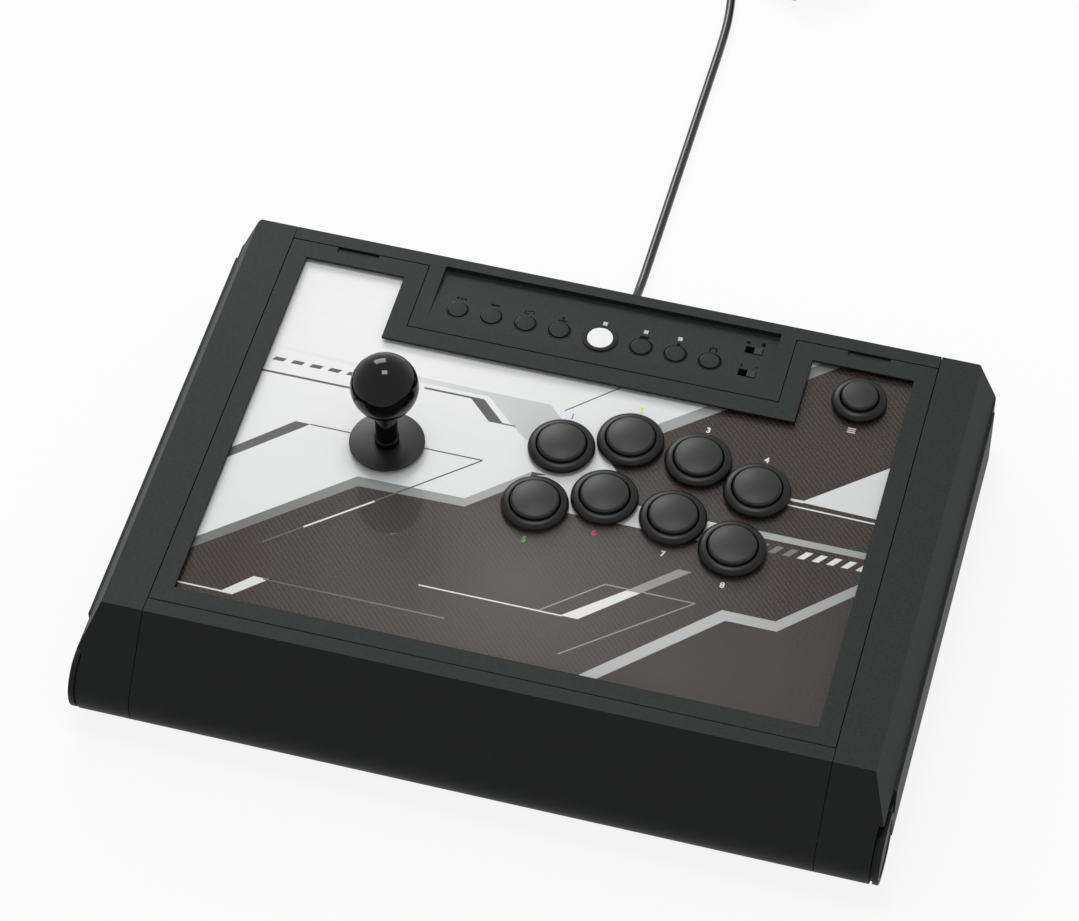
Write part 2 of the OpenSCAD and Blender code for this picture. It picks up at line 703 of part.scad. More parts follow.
module lever_clip() color(steel_grey) at_lever() difference() {
    tube(10, shaft_d, shaft_bottom + 1, shaft_bottom + 1.8);
    box([-1.6, 0, shaft_bottom], [1.6, 8, shaft_bottom + 3]);
}

module lower_washer() color(cap_black) at_lever()
    tube(lower_washer_d, lower_washer_hole, plate_bottom - 1.8 + gap, plate_bottom - gap);

module dust_washer() color(cap_black) at_lever()
    tube(washer_d, sleeve_d + 2 * washer_gap, washer_bottom, washer_bottom + washer_t);

// ---- buttons

// A snap-in housing with its rim over the cover, for a button of a given size
module housing(size_d) difference() {
    union() {
        rod(size_d - 2 * hole_gap, housing_bottom_h, cover_top);
        rotate_extrude() polygon([[0, cover_top], [size_d / 2 + rim_over, cover_top],
            [size_d / 2 + rim_over, cover_top + 1.2], [size_d / 2 + 0.9, cover_top + rim_h - 0.3],
            [size_d / 2, cover_top + rim_h], [0, cover_top + rim_h]]);
    }
    rod(size_d - 2 * housing_wall, housing_bottom_h + housing_base, cover_top + rim_h + eps);
}

// The cap that slides in a housing, crowned on top, with its stem over the switch
module plunger(size_d) {
    crown = cover_top + rim_h + cap_rise;
    cap_r = size_d / 2 - housing_wall - cap_gap;
    skirt = crown - cap_skirt - play_travel;
    difference() {
        intersection() {
            translate([0, 0, crown - crown_r]) sphere(crown_r, $fn = 128);
            rotate_extrude() polygon([[0, skirt], [cap_r, skirt], [cap_r, crown - 1.2 - cap_edge],
                [cap_r - cap_edge, crown], [0, crown]]);
        }
        rod(2 * (cap_r - housing_wall), skirt - eps, crown - 4);
    }
    rod(5, housing_bottom_h + housing_base + play_travel + gap, crown - 3);
}

module play_housings() color(cap_black) for (p = play_places) translate(p) housing(play_d);
module menu_housing() color(cap_black) translate(menu_place) housing(menu_d);
module button_switches() color(switch_black) for (p = concat(play_places, [menu_place]))
    translate(p) box([-6, -3, housing_bottom_h - 8], [6, 3, housing_bottom_h]);
module play_button(n) color(cap_black) translate(play_places[n - 1]) plunger(play_d);
module menu_button() color(cap_black) translate(menu_place) plunger(menu_d);

module small_button(x, d, rise) translate([x, small_y, 0]) {
    rod(d, recess_at(small_y) - 4.6, recess_at(small_y) + rise);
    rod(3, board_top + 2 + small_travel + gap, recess_at(small_y) - 4);
}
module numbered_small(n) color(cap_black) small_button(small_x[n - 1], small_d, 1);
module home_button() color("#f0f0f0") small_button(0, home_d, 1.2);

module slide_knob(y) color(cap_black) translate([switch_x, y, 0]) {
    box([0.1, -knob[1] / 2, recess_at(y) - 1.2], [0.1 + knob[0], knob[1] / 2, recess_at(y) + 0.6]);
    box([1.4, -0.8, board_top + 2 + gap], [3.2, 0.8, recess_at(y) - 1]);
}
module lock_switch() slide_knob(lock_y);
module mode_switch() slide_knob(mode_y);

base_tray();
rubber_feet();
hinge_caps();
hinge_pins();
left_latch();
right_latch();
latch_springs();
main_board();
cord_gland();
cord();
cord_coil();
usb_plug();
cord_tie();
lid_shell();
left_cheek();
right_cheek();
bezel();
clear_cover();
art_sheet();
steel_panel();
panel_screws();
control_board();
status_lights();
lever_plate();
lever_housing();
lever_gate();
lever_switches();
play_housings();
menu_housing();
button_switches();
lever_pivot();
lever_shaft();
shaft_sleeve();
ball_top();
spring_seat();
lever_spring();
lever_actuator();
lever_clip();
lower_washer();
dust_washer();
play_button(1);  // play_button_1
play_button(2);  // play_button_2
play_button(3);  // play_button_3
play_button(4);  // play_button_4
play_button(5);  // play_button_5
play_button(6);  // play_button_6
play_button(7);  // play_button_7
play_button(8);  // play_button_8
menu_button();
numbered_small(1);  // small_button_1
numbered_small(2);  // small_button_2
numbered_small(3);  // small_button_3
numbered_small(4);  // small_button_4
home_button();
numbered_small(5);  // small_button_5
numbered_small(6);  // small_button_6
numbered_small(7);  // small_button_7
lock_switch();
mode_switch();
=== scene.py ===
"""Looks of the arcade joystick controller: a dark clamshell case with a ball-top lever, eight play buttons,
a menu button and a strip of small controls over a printed sheet under a clear cover.

Lengths in the classes are millimetres in the part's frame: X to the right, Y to the rear, Z up from the
table.
"""

import contextlib
import json
import logging
import math
from collections.abc import Callable, Iterator, Sequence
from dataclasses import dataclass, field
from enum import Enum
from functools import partial

import bpy
from mathutils import Matrix, Vector

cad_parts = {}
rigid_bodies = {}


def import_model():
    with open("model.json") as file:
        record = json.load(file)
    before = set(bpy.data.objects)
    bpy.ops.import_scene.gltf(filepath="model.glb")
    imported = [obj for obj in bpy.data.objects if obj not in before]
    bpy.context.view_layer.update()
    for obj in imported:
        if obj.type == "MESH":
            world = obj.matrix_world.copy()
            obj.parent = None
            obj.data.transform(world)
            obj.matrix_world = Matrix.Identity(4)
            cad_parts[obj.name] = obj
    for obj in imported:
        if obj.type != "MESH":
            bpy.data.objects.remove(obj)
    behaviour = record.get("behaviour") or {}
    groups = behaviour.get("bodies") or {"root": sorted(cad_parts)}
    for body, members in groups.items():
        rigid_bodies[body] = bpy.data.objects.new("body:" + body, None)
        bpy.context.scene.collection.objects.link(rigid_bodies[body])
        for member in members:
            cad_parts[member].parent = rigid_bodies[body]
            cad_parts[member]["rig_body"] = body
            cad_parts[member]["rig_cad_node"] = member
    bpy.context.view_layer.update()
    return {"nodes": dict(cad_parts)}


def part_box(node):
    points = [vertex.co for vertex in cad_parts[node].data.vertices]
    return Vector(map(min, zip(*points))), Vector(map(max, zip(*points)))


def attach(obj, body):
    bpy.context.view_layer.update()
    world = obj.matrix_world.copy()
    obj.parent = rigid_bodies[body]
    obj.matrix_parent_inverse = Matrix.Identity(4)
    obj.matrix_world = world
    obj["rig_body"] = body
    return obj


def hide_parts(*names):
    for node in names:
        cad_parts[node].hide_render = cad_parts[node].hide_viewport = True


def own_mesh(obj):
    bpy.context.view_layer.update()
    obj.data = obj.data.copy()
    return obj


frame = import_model()

log = logging.getLogger("controller")

MM = 0.001
WELD = 0.002 * MM
WHITE = (1, 1, 1, 1)
Point2 = tuple[float, float]
Point3 = tuple[float, float, float]
Obj = bpy.types.Object
Node = bpy.types.Node
Tree = bpy.types.NodeTree
Socket = bpy.types.NodeSocket


def metres(*place: float) -> Vector:
    """Turns a place in millimetres to one in metres."""
    return Vector([v * MM for v in place])


def linear(code: str) -> tuple[float, float, float, float]:
    """Turns an sRGB hex colour to linear.

    Args:
        code: The colour as "#rrggbb".

    Returns:
        Red, green, blue and an alpha of 1.
    """
    parts = [int(code[k : k + 2], 16) / 255 for k in (1, 3, 5)]
    return (*(c / 12.92 if c <= 0.04045 else ((c + 0.055) / 1.055) ** 2.4 for c in parts), 1.0)


def per_metre(size: float) -> float:
    """Gives the texture scale whose feature is about this many millimetres across."""
    return 1 / (size * MM)


def add_node(
    tree: Tree,
    kind: str,
    inputs: dict | None = None,
    stops: Sequence[tuple[float, str]] = (),
    **settings: object,
) -> Node:
    """Adds one shader node.

    Args:
        tree: The node tree it goes in.
        kind: Blender's name for the node type.
        inputs: A value or an output socket for each named or numbered input.
        stops: The places and hex colours of a colour ramp.
        **settings: Properties of the node.

    Returns:
        The new node.
    """
    node = tree.nodes.new(kind)
    for name, value in settings.items():
        setattr(node, name, value)
    for key, value in (inputs or {}).items():
        if isinstance(value, Socket):
            tree.links.new(value, node.inputs[key])
        else:
            node.inputs[key].default_value = value
    if stops:
        elements = node.color_ramp.elements
        while len(elements) < len(stops):
            elements.new(0.5)
        for element, (place, code) in zip(elements, stops):
            element.position = place
            element.color = linear(code)
    return node


# ---- finishes


@dataclass(frozen=True)
class Finish:
    """A surface finish: its colour, its gloss and a fine grain that shows in the colour and the relief."""

    name: str
    colour: str
    fleck: str
    roughness: float = 0.5
    specular: float = 0.5
    metallic: float = 0.0
    grain: float = 0.6
    relief: float = 0.0
    coat: float = 0.0
    coat_roughness: float = 0.05
    stretch: float = 1.0
    detail: float = 2.0
    bump: float = 0.6

    def colour_socket(self, tree: Tree, place: Socket) -> Socket:
        """Mixes the colour and its fleck by a fine noise.

        Args:
            tree: The material's node tree.
            place: Object coordinates.

        Returns:
            The colour output.
        """
        scale = per_metre(self.grain * 2.5)
        noise = add_node(tree, "ShaderNodeTexNoise", {"Vector": place, "Scale": scale, "Detail": 4.0})
        stops = ((0.35, self.colour), (0.72, self.fleck))
        ramp = add_node(tree, "ShaderNodeValToRGB", {"Fac": noise.outputs["Fac"]}, stops)
        return ramp.outputs["Color"]

    def relief_socket(self, tree: Tree, place: Socket) -> Socket:
        """Gives the normal of the grain, which is drawn a little coarse so that it shows."""
        drawn = add_node(tree, "ShaderNodeMapping", {"Vector": place, "Scale": (self.stretch, 1.0, 1.0)})
        spot = {"Vector": drawn.outputs["Vector"], "Scale": per_metre(self.grain), "Detail": self.detail}
        noise = add_node(tree, "ShaderNodeTexNoise", spot)
        rise = {"Height": noise.outputs["Fac"], "Strength": self.bump, "Distance": self.relief * MM}
        return add_node(tree, "ShaderNodeBump", rise).outputs["Normal"]

    def material(self) -> bpy.types.Material:
        """Builds the material, or finds it if it was built before.

        Returns:
            The Blender material.
        """
        found = bpy.data.materials.get(self.name)
        if found:
            return found
        made = bpy.data.materials.new(self.name)
        made.use_nodes = True
        tree = made.node_tree
        shader = tree.nodes["Principled BSDF"]
        place = add_node(tree, "ShaderNodeTexCoord").outputs["Object"]
        tree.links.new(self.colour_socket(tree, place), shader.inputs["Base Color"])
        if self.relief:
            tree.links.new(self.relief_socket(tree, place), shader.inputs["Normal"])
        constants = {
            "Roughness": self.roughness,
            "Metallic": self.metallic,
            "Specular IOR Level": self.specular,
            "Coat Weight": self.coat,
            "Coat Roughness": self.coat_roughness,
        }
        for name, value in constants.items():
            shader.inputs[name].default_value = value
        self.adjust(shader)
        return made

    def adjust(self, shader: Node) -> None:
        """Adds what is special to a finish. The plain finish adds nothing."""


@dataclass(frozen=True)
class BrushedFinish(Finish):
    """Metal with fine lines along X, a few tenths of a millimetre apart, stretched from its grain."""

    metallic: float = 1.0
    stretch: float = 0.02
    detail: float = 3.0
    bump: float = 0.3


@dataclass(frozen=True)
class ClearFinish(Finish):
    """Clear acrylic: nearly all see-through, with its own gloss."""

    alpha: float = 0.04

    def adjust(self, shader: Node) -> None:
        """Makes it see-through."""
        shader.inputs["Alpha"].default_value = self.alpha


@dataclass(frozen=True)
class GradedPrint(Finish):
    """Ink that fades from one colour to another away from a place on the sheet."""

    specular: float = 0.1
    coat: float = 0.5
    coat_roughness: float = 0.02
    centre: Point2 = (0.0, 0.0)
    reach: float = 150.0
    far: str = "#000000"
    streaks: float = 0.2

    def colour_socket(self, tree: Tree, place: Socket) -> Socket:
        """Fades the ink from its centre outwards and lays its streaks over it."""
        scale = per_metre(self.reach)
        shift = (-self.centre[0] / self.reach, -self.centre[1] / self.reach, 0.0)
        window = {"Vector": place, "Location": shift, "Scale": (scale, scale, 0.0)}
        moved = add_node(tree, "ShaderNodeMapping", window).outputs["Vector"]
        ball = add_node(tree, "ShaderNodeTexGradient", {"Vector": moved}, gradient_type="SPHERICAL")
        stops = ((0.0, self.far), (1.0, self.colour))
        fade = add_node(tree, "ShaderNodeValToRGB", {"Fac": ball.outputs["Fac"]}, stops)
        factors = {0: self.pattern_socket(tree, place), 1: self.streaks}
        share = add_node(tree, "ShaderNodeMath", factors, operation="MULTIPLY").outputs["Value"]
        inks = {0: share, 6: fade.outputs["Color"], 7: linear(self.fleck)}
        return add_node(tree, "ShaderNodeMix", inks, data_type="RGBA").outputs[2]

    def pattern_socket(self, tree: Tree, place: Socket) -> Socket:
        """Gives where the fleck colour shows: brushed streaks along X, a millimetre apart."""
        drawn = add_node(tree, "ShaderNodeMapping", {"Vector": place, "Scale": (0.03, 1.0, 1.0)})
        spot = {"Vector": drawn.outputs["Vector"], "Scale": per_metre(1.6), "Detail": 5.0}
        return add_node(tree, "ShaderNodeTexNoise", spot).outputs["Fac"]


@dataclass(frozen=True)
class PinstripePrint(GradedPrint):
    """Dark graded ink with fine slanting pinstripes."""

    pitch: float = 2.3

    def pattern_socket(self, tree: Tree, place: Socket) -> Socket:
        """Gives the stripes, which run down to the right at 45 degrees."""
        slant = (0.0, 0.0, math.radians(-45))
        leaning = add_node(tree, "ShaderNodeMapping", {"Vector": place, "Rotation": slant})
        # the wave texture repeats every pi / 10 of its scaled length
        spot = {"Vector": leaning.outputs["Vector"], "Scale": math.pi / 10 * per_metre(self.pitch)}
        wave = add_node(tree, "ShaderNodeTexWave", spot, wave_type="BANDS", bands_direction="X")
        return wave.outputs["Fac"]


@dataclass(frozen=True)
class BoardFinish(Finish):
    """Green solder mask over copper tracks, which show as lighter lines."""

    def colour_socket(self, tree: Tree, place: Socket) -> Socket:
        """Draws tracks a few millimetres apart as the edges of brick-like cells."""
        mask = linear(self.colour)
        cells = {"Vector": place, "Color1": mask, "Color2": mask, "Mortar": linear(self.fleck)}
        cells |= {"Scale": per_metre(8.0), "Mortar Size": 0.02}
        return add_node(tree, "ShaderNodeTexBrick", cells).outputs["Color"]


# Textured ABS: a spark-eroded mould leaves a grain of about half a millimetre that breaks up the gloss
CASE = Finish("moulded_abs_charcoal", "#141616", "#1f2121", 0.56, 0.19, grain=0.55, relief=0.05)
# The case ABS again, darker, less glossy and with a finer grain: painted shade for the front slope and roll,
# which face away from the lamps
SHADED_ABS = Finish("shaded_abs_black", "#151616", "#191a1a", 0.5, 0.13, grain=0.4, relief=0.015)
CAP = Finish("button_abs_black", "#121212", "#191919", 0.4, 0.32, grain=0.35, relief=0.02)
RIM = Finish("button_rim_abs_black", "#0d0d0d", "#121212", 0.34, 0.22, grain=0.5, relief=0.01)
# The ball is polished phenolic: it mirrors the lamps sharply
GLOSS = Finish("polished_phenolic_black", "#040404", "#060606", 0.08, 0.22, grain=3)
GUIDE = Finish("gloss_ring_black", "#050505", "#080808", 0.2, 0.12, grain=1)
RUBBER = Finish("moulded_pvc_black", "#0b0b0b", "#111111", 0.24, 0.45, grain=0.5, relief=0.008)
FOOT = Finish("foam_rubber_black", "#101010", "#1c1c1c", 0.9, 0.2, grain=0.8, relief=0.1)
STEEL = BrushedFinish("zinc_plated_steel", "#a8abae", "#c0c2c4", 0.35, grain=0.3, relief=0.01)
INNER = Finish("moulded_pbt_black", "#141414", "#1e1e1e", 0.45, 0.4, grain=0.8, relief=0.02)
ACETAL = Finish("acetal_natural", "#dcdcd6", "#e6e6e0", 0.35, grain=1.2, relief=0.01)
WHITE_CAP = Finish("white_gloss_abs", "#e4e4e4", "#eaeaea", 0.15, 0.2, grain=2)
FROSTED = Finish("frosted_light_window", "#a9acac", "#b8baba", 0.5, 0.4, grain=0.5, relief=0.01)
BOARD = BoardFinish("solder_mask_green", "#1d5b38", "#3f8558", 0.3, coat=0.3, relief=0.02)
CLEAR = ClearFinish("clear_acrylic", "#161818", "#1a1c1c", 0.03, grain=5)
MARK_DARK = Finish("pad_ink_black", "#020202", "#040404", 0.5, 0.03, grain=0.5)
MARKS = {
    word: Finish(f"ink_{word}", colour, fleck, 0.3, grain=0.5)
    for word, colour, fleck in (
        ("white", "#e4e4e4", "#f0f0f0"),
        ("blue", "#2fa8c8", "#38b4d4"),
        ("yellow", "#d8dc1c", "#e2e628"),
        ("green", "#55b432", "#60c03c"),
        ("red", "#d2243c", "#dc3048"),
    )
}


class Ink(Enum):
    """The inks of the printed sheet, in the order of its slots."""

    DARK = PinstripePrint(
        "pinstripe_ink", "#5a5856", "#86736a", centre=(0, -50), reach=145, far="#28211f", streaks=0.13
    )
    LIGHT = GradedPrint(
        "brushed_silver_ink", "#fcfcfc", "#b4b7b7", centre=(-110, 90), reach=260, far="#dddfdf", streaks=0.14
    )
    SHADE = GradedPrint(
        "light_grey_ink", "#c4c6c6", "#d8d8d8", centre=(0, 50), reach=130, far="#f0f0f0", streaks=0.1
    )
    SILVER = GradedPrint(
        "graded_silver_ink", "#dadbdb", "#8c8c8c", centre=(50, -40), reach=190, far="#707272", streaks=0.3
    )
    WHITE = GradedPrint(
        "white_ink", "#f4f4f4", "#d8d8d8", centre=(0, -40), reach=300, far="#d0d0d0", streaks=0.1
    )
    LINE = GradedPrint("grey_line_ink", "#5a5a5a", "#747474", centre=(-80, 40), reach=200, far="#686868")
    PLAIN = GradedPrint("plain_dark_ink", "#4a4846", "#2a2624", centre=(80, -80), reach=130, far="#302927")
    FAINT = GradedPrint("faint_line_ink", "#aaa8a6", "#8a8886", centre=(40, -50), reach=150, far="#5a5756")


# ---- modelling by hand


def link(obj: Obj) -> Obj:
    """Puts a new object in the scene."""
    bpy.context.scene.collection.objects.link(obj)
    return obj


def named(obj: Obj, name: str) -> Obj:
    """Gives an object and its mesh one name."""
    obj.name = obj.data.name = name
    return obj


def primitive(add: Callable[..., object], **settings: object) -> Obj:
    """Adds a primitive with nothing else selected."""
    bpy.ops.object.select_all(action="DESELECT")
    add(**settings)
    return bpy.context.object


def activate(obj: Obj) -> None:
    """Makes one object the only selected one and the active one."""
    bpy.ops.object.select_all(action="DESELECT")
    obj.select_set(True)
    bpy.context.view_layer.objects.active = obj


@contextlib.contextmanager
def editing(obj: Obj) -> Iterator[None]:
    """Opens an object's mesh in edit mode with all of it selected."""
    activate(obj)
    bpy.ops.object.mode_set(mode="EDIT")
    bpy.ops.mesh.select_all(action="SELECT")
    yield
    bpy.ops.object.mode_set(mode="OBJECT")


def settle(obj: Obj) -> None:
    """Applies an object's modifiers and place, so that it sits at the origin."""
    activate(obj)
    for modifier in list(obj.modifiers):
        bpy.ops.object.modifier_apply(modifier=modifier.name)
    bpy.ops.object.transform_apply(location=True, rotation=True, scale=True)


def dress(obj: Obj, finish: Finish, angle: float = 30.0) -> None:
    """Gives an object one finish and smooths it up to an angle in degrees."""
    activate(obj)
    obj.data.materials.clear()
    obj.data.materials.append(finish.material())
    bpy.ops.object.shade_smooth_by_angle(angle=math.radians(angle))


def extrude(*shift: float) -> None:
    """Extrudes the selected faces by some millimetres."""
    step = tuple(v * MM for v in shift)
    bpy.ops.mesh.extrude_region_move(TRANSFORM_OT_translate={"value": step})


def edge_bevel(obj: Obj, width: float) -> None:
    """Rounds the sharp edges of an object by a width in millimetres."""
    bevel = obj.modifiers.new("edges", "BEVEL")
    bevel.width = width * MM
    bevel.segments = 2
    bevel.limit_method = "ANGLE"
    bevel.angle_limit = math.radians(35)
    bevel.use_clamp_overlap = True


def arc(centre: Point2, radius: float, start: float, end: float, steps: int) -> list[Point2]:
    """Lists points of an arc in a profile.

    Args:
        centre: Radius and height of its centre.
        radius: Its radius.
        start: First angle in degrees, from the outward direction.
        end: Last angle.
        steps: How many pieces it has.

    Returns:
        The points in order.
    """
    turns = [math.radians(start + (end - start) * k / steps) for k in range(steps + 1)]
    return [(centre[0] + radius * math.cos(a), centre[1] + radius * math.sin(a)) for a in turns]


def turned(
    name: str, profile: Sequence[Point2], finish: Finish, place: Point3 = (0, 0, 0), sides: int = 64
) -> Obj:
    """Spins a profile about the Z axis.

    Args:
        name: The new object's name.
        profile: Radius and height of each point.
        finish: Its finish.
        place: Where the axis stands.
        sides: How many steps go round.

    Returns:
        The finished object, at the origin.
    """
    obj = named(primitive(bpy.ops.mesh.primitive_plane_add, size=MM), name)
    with editing(obj):
        bpy.ops.mesh.merge(type="CENTER")
        bpy.ops.transform.translate(value=(profile[0][0] * MM, 0, profile[0][1] * MM))
        for (r0, z0), (r1, z1) in zip(profile, profile[1:]):
            step = ((r1 - r0) * MM, 0, (z1 - z0) * MM)
            bpy.ops.mesh.extrude_vertices_move(TRANSFORM_OT_translate={"value": step})
        bpy.ops.mesh.select_all(action="SELECT")
        bpy.ops.mesh.spin(steps=sides, angle=math.tau, center=(0, 0, 0), axis=(0, 0, 1))
        bpy.ops.mesh.select_all(action="SELECT")
        bpy.ops.mesh.remove_doubles(threshold=WELD)
        bpy.ops.mesh.normals_make_consistent(inside=False)
    obj.location = metres(*place)
    settle(obj)
    dress(obj, finish)
    return obj


def copy_of(obj: Obj, name: str, shift: Point3) -> Obj:
    """Copies a finished piece with its own mesh, moved by some millimetres."""
    made = obj.copy()
    made.data = obj.data.copy()
    made.data.transform(Matrix.Translation(metres(*shift)))
    return named(link(made), name)


def joined(parts: Sequence[Obj], name: str) -> Obj:
    """Joins several objects into one piece."""
    activate(parts[0])
    for part in parts:
        part.select_set(True)
    bpy.ops.object.join()
    return named(parts[0], name)


def place_piece(obj: Obj, body: str, slot: str, *nodes: str) -> Obj:
    """Puts a piece on its body and hides the CAD nodes that it stands for."""
    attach(obj, body)
    if nodes:
        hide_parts(*nodes)
    log.info("%s rides on %s, %d faces", obj.name, body, len(obj.data.polygons) if obj.type == "MESH" else 0)
    return obj


def recast(
    node: str,
    finish: Finish,
    slot: str,
    bevel: float = 0.4,
    suffix: str = "moulding",
    trim: Callable[[], None] | None = None,
) -> Obj:
    """Makes a finished piece from a CAD node: its own merged copy with rounded edges.

    Args:
        node: The CAD node.
        finish: The piece's finish.
        slot: The record's material slot. It is not used.
        bevel: Radius of the edges in millimetres, or 0 for none.
        suffix: What the piece's name ends with.
        trim: Cuts the mesh in edit mode before its edges are rounded, if it needs that.

    Returns:
        The piece, on the node's body.
    """
    source = frame["nodes"][node]
    obj = source.copy()
    obj.data = source.data.copy()
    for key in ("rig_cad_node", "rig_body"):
        if key in obj:
            del obj[key]
    obj.parent = None
    # a node that was recast before is hidden, and its copy too
    obj.hide_viewport = obj.hide_render = False
    link(named(obj, f"{node}_{suffix}"))
    with editing(obj):
        bpy.ops.mesh.remove_doubles(threshold=WELD)
        bpy.ops.mesh.dissolve_limited(angle_limit=math.radians(0.5))
        if trim:
            trim()
    if bevel:
        edge_bevel(obj, bevel)
    settle(obj)
    dress(obj, finish, 40.0)
    if bevel:
        obj.modifiers.new("flat_faces", "WEIGHTED_NORMAL").keep_sharp = True
        settle(obj)
    return place_piece(obj, source["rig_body"], slot, node)


def repaint(finish: Finish, *nodes: str) -> None:
    """Gives CAD nodes that stay as they are a finish."""
    for node in nodes:
        mesh = frame["nodes"][node].data
        mesh.materials.clear()
        mesh.materials.append(finish.material())
        log.info("%s keeps its shape in %s", node, finish.name)


# ---- the camera and the room


@dataclass
class Studio:
    """The camera, the lamps, the pale floor and the white surroundings."""

    eye: Point3 = (332.87, -1248.80, 1730.13)
    right: Point3 = (0.965927, 0.258815, -0.000353)
    up: Point3 = (-0.202636, 0.757109, 0.621068)
    forward: Point3 = (-0.161009, 0.599835, -0.783757)
    lens: float = 139.24
    sensor: float = 36.0
    view_end: float = 100.0
    floor_size: float = 60000.0
    floor_drop: float = 0.2
    floor_colour: str = "#dcdcdc"
    floor_white: float = 0.88
    room_light: float = 0.54
    aim: Point3 = (0.0, 0.0, 50.0)

    def build_camera(self) -> None:
        """Sets the camera at the viewing angle."""
        data = bpy.data.cameras.new("camera")
        data.lens = self.lens
        data.sensor_width = self.sensor
        data.clip_end = self.view_end
        camera = link(bpy.data.objects.new("camera", data))
        axes = Matrix([self.right, self.up, [-v for v in self.forward]]).transposed()
        camera.matrix_world = Matrix.Translation(metres(*self.eye)) @ axes.to_4x4()
        bpy.context.scene.camera = camera

    def build_lamp(self, name: str, place: Point3, size: Point2, power: float) -> None:
        """Adds a soft box that faces the controller.

        Args:
            name: The lamp's name.
            place: Where it stands.
            size: Its width and height.
            power: Its power in watts.
        """
        data = bpy.data.lights.new(name, "AREA")
        data.shape = "RECTANGLE"
        data.size, data.size_y = metres(*size)
        data.energy = power
        lamp = link(bpy.data.objects.new(name, data))
        spot = metres(*place)
        turn = (metres(*self.aim) - spot).to_track_quat("-Z", "Y")
        lamp.matrix_world = Matrix.Translation(spot) @ turn.to_matrix().to_4x4()

    @staticmethod
    def bare_tree(owner: bpy.types.ID) -> Tree:
        """Gives a material or a world an empty node tree."""
        owner.use_nodes = True
        owner.node_tree.nodes.clear()
        return owner.node_tree

    def seen_socket(self, tree: Tree) -> Socket:
        """Tells the rays that see the room, straight or in gloss or glass, from those that light by it."""
        path = add_node(tree, "ShaderNodeLightPath")
        seen = path.outputs["Is Camera Ray"]
        for kind in ("Is Glossy Ray", "Is Transmission Ray"):
            both = add_node(tree, "ShaderNodeMath", {0: seen, 1: path.outputs[kind]}, operation="MAXIMUM")
            seen = both.outputs["Value"]
        return seen

    def build_floor(self) -> None:
        """Lays the floor: white paper that keeps a soft shadow."""
        place = metres(0, 0, -self.floor_drop)
        floor = primitive(bpy.ops.mesh.primitive_plane_add, size=self.floor_size * MM, location=place)
        floor.name = "studio_floor"
        settle(floor)
        made = bpy.data.materials.new("white_paper_floor")
        tree = self.bare_tree(made)
        white = add_node(tree, "ShaderNodeEmission", {"Color": WHITE, "Strength": 1.0})
        paper = add_node(tree, "ShaderNodeBsdfDiffuse", {"Color": linear(self.floor_colour)})
        factors = {0: self.seen_socket(tree), 1: self.floor_white}
        share = add_node(tree, "ShaderNodeMath", factors, operation="MULTIPLY").outputs["Value"]
        shaders = {0: share, 1: paper.outputs["BSDF"], 2: white.outputs["Emission"]}
        mixed = add_node(tree, "ShaderNodeMixShader", shaders)
        add_node(tree, "ShaderNodeOutputMaterial", {"Surface": mixed.outputs["Shader"]})
        floor.data.materials.append(made)

    def build_world(self) -> None:
        """Sets the world, which lights plainly and shows white."""
        world = bpy.data.worlds.new("white_room")
        bpy.context.scene.world = world
        tree = self.bare_tree(world)
        levels = {"Value": self.seen_socket(tree), "To Min": self.room_light, "To Max": 1.0}
        strength = add_node(tree, "ShaderNodeMapRange", levels).outputs["Result"]
        light = add_node(tree, "ShaderNodeBackground", {"Color": WHITE, "Strength": strength})
        add_node(tree, "ShaderNodeOutputWorld", {"Surface": light.outputs["Background"]})

    def build(self) -> None:
        """Builds all of it."""
        self.build_camera()
        self.build_floor()
        self.build_world()
        self.build_lamp("rear_left_box", (-950, 1750, 1300), (1000, 800), 24.0)
        self.build_lamp("overhead_box", (-100, 300, 1900), (500, 400), 11.0)
        bpy.context.scene.view_settings.view_transform = "Standard"


# ---- the cord


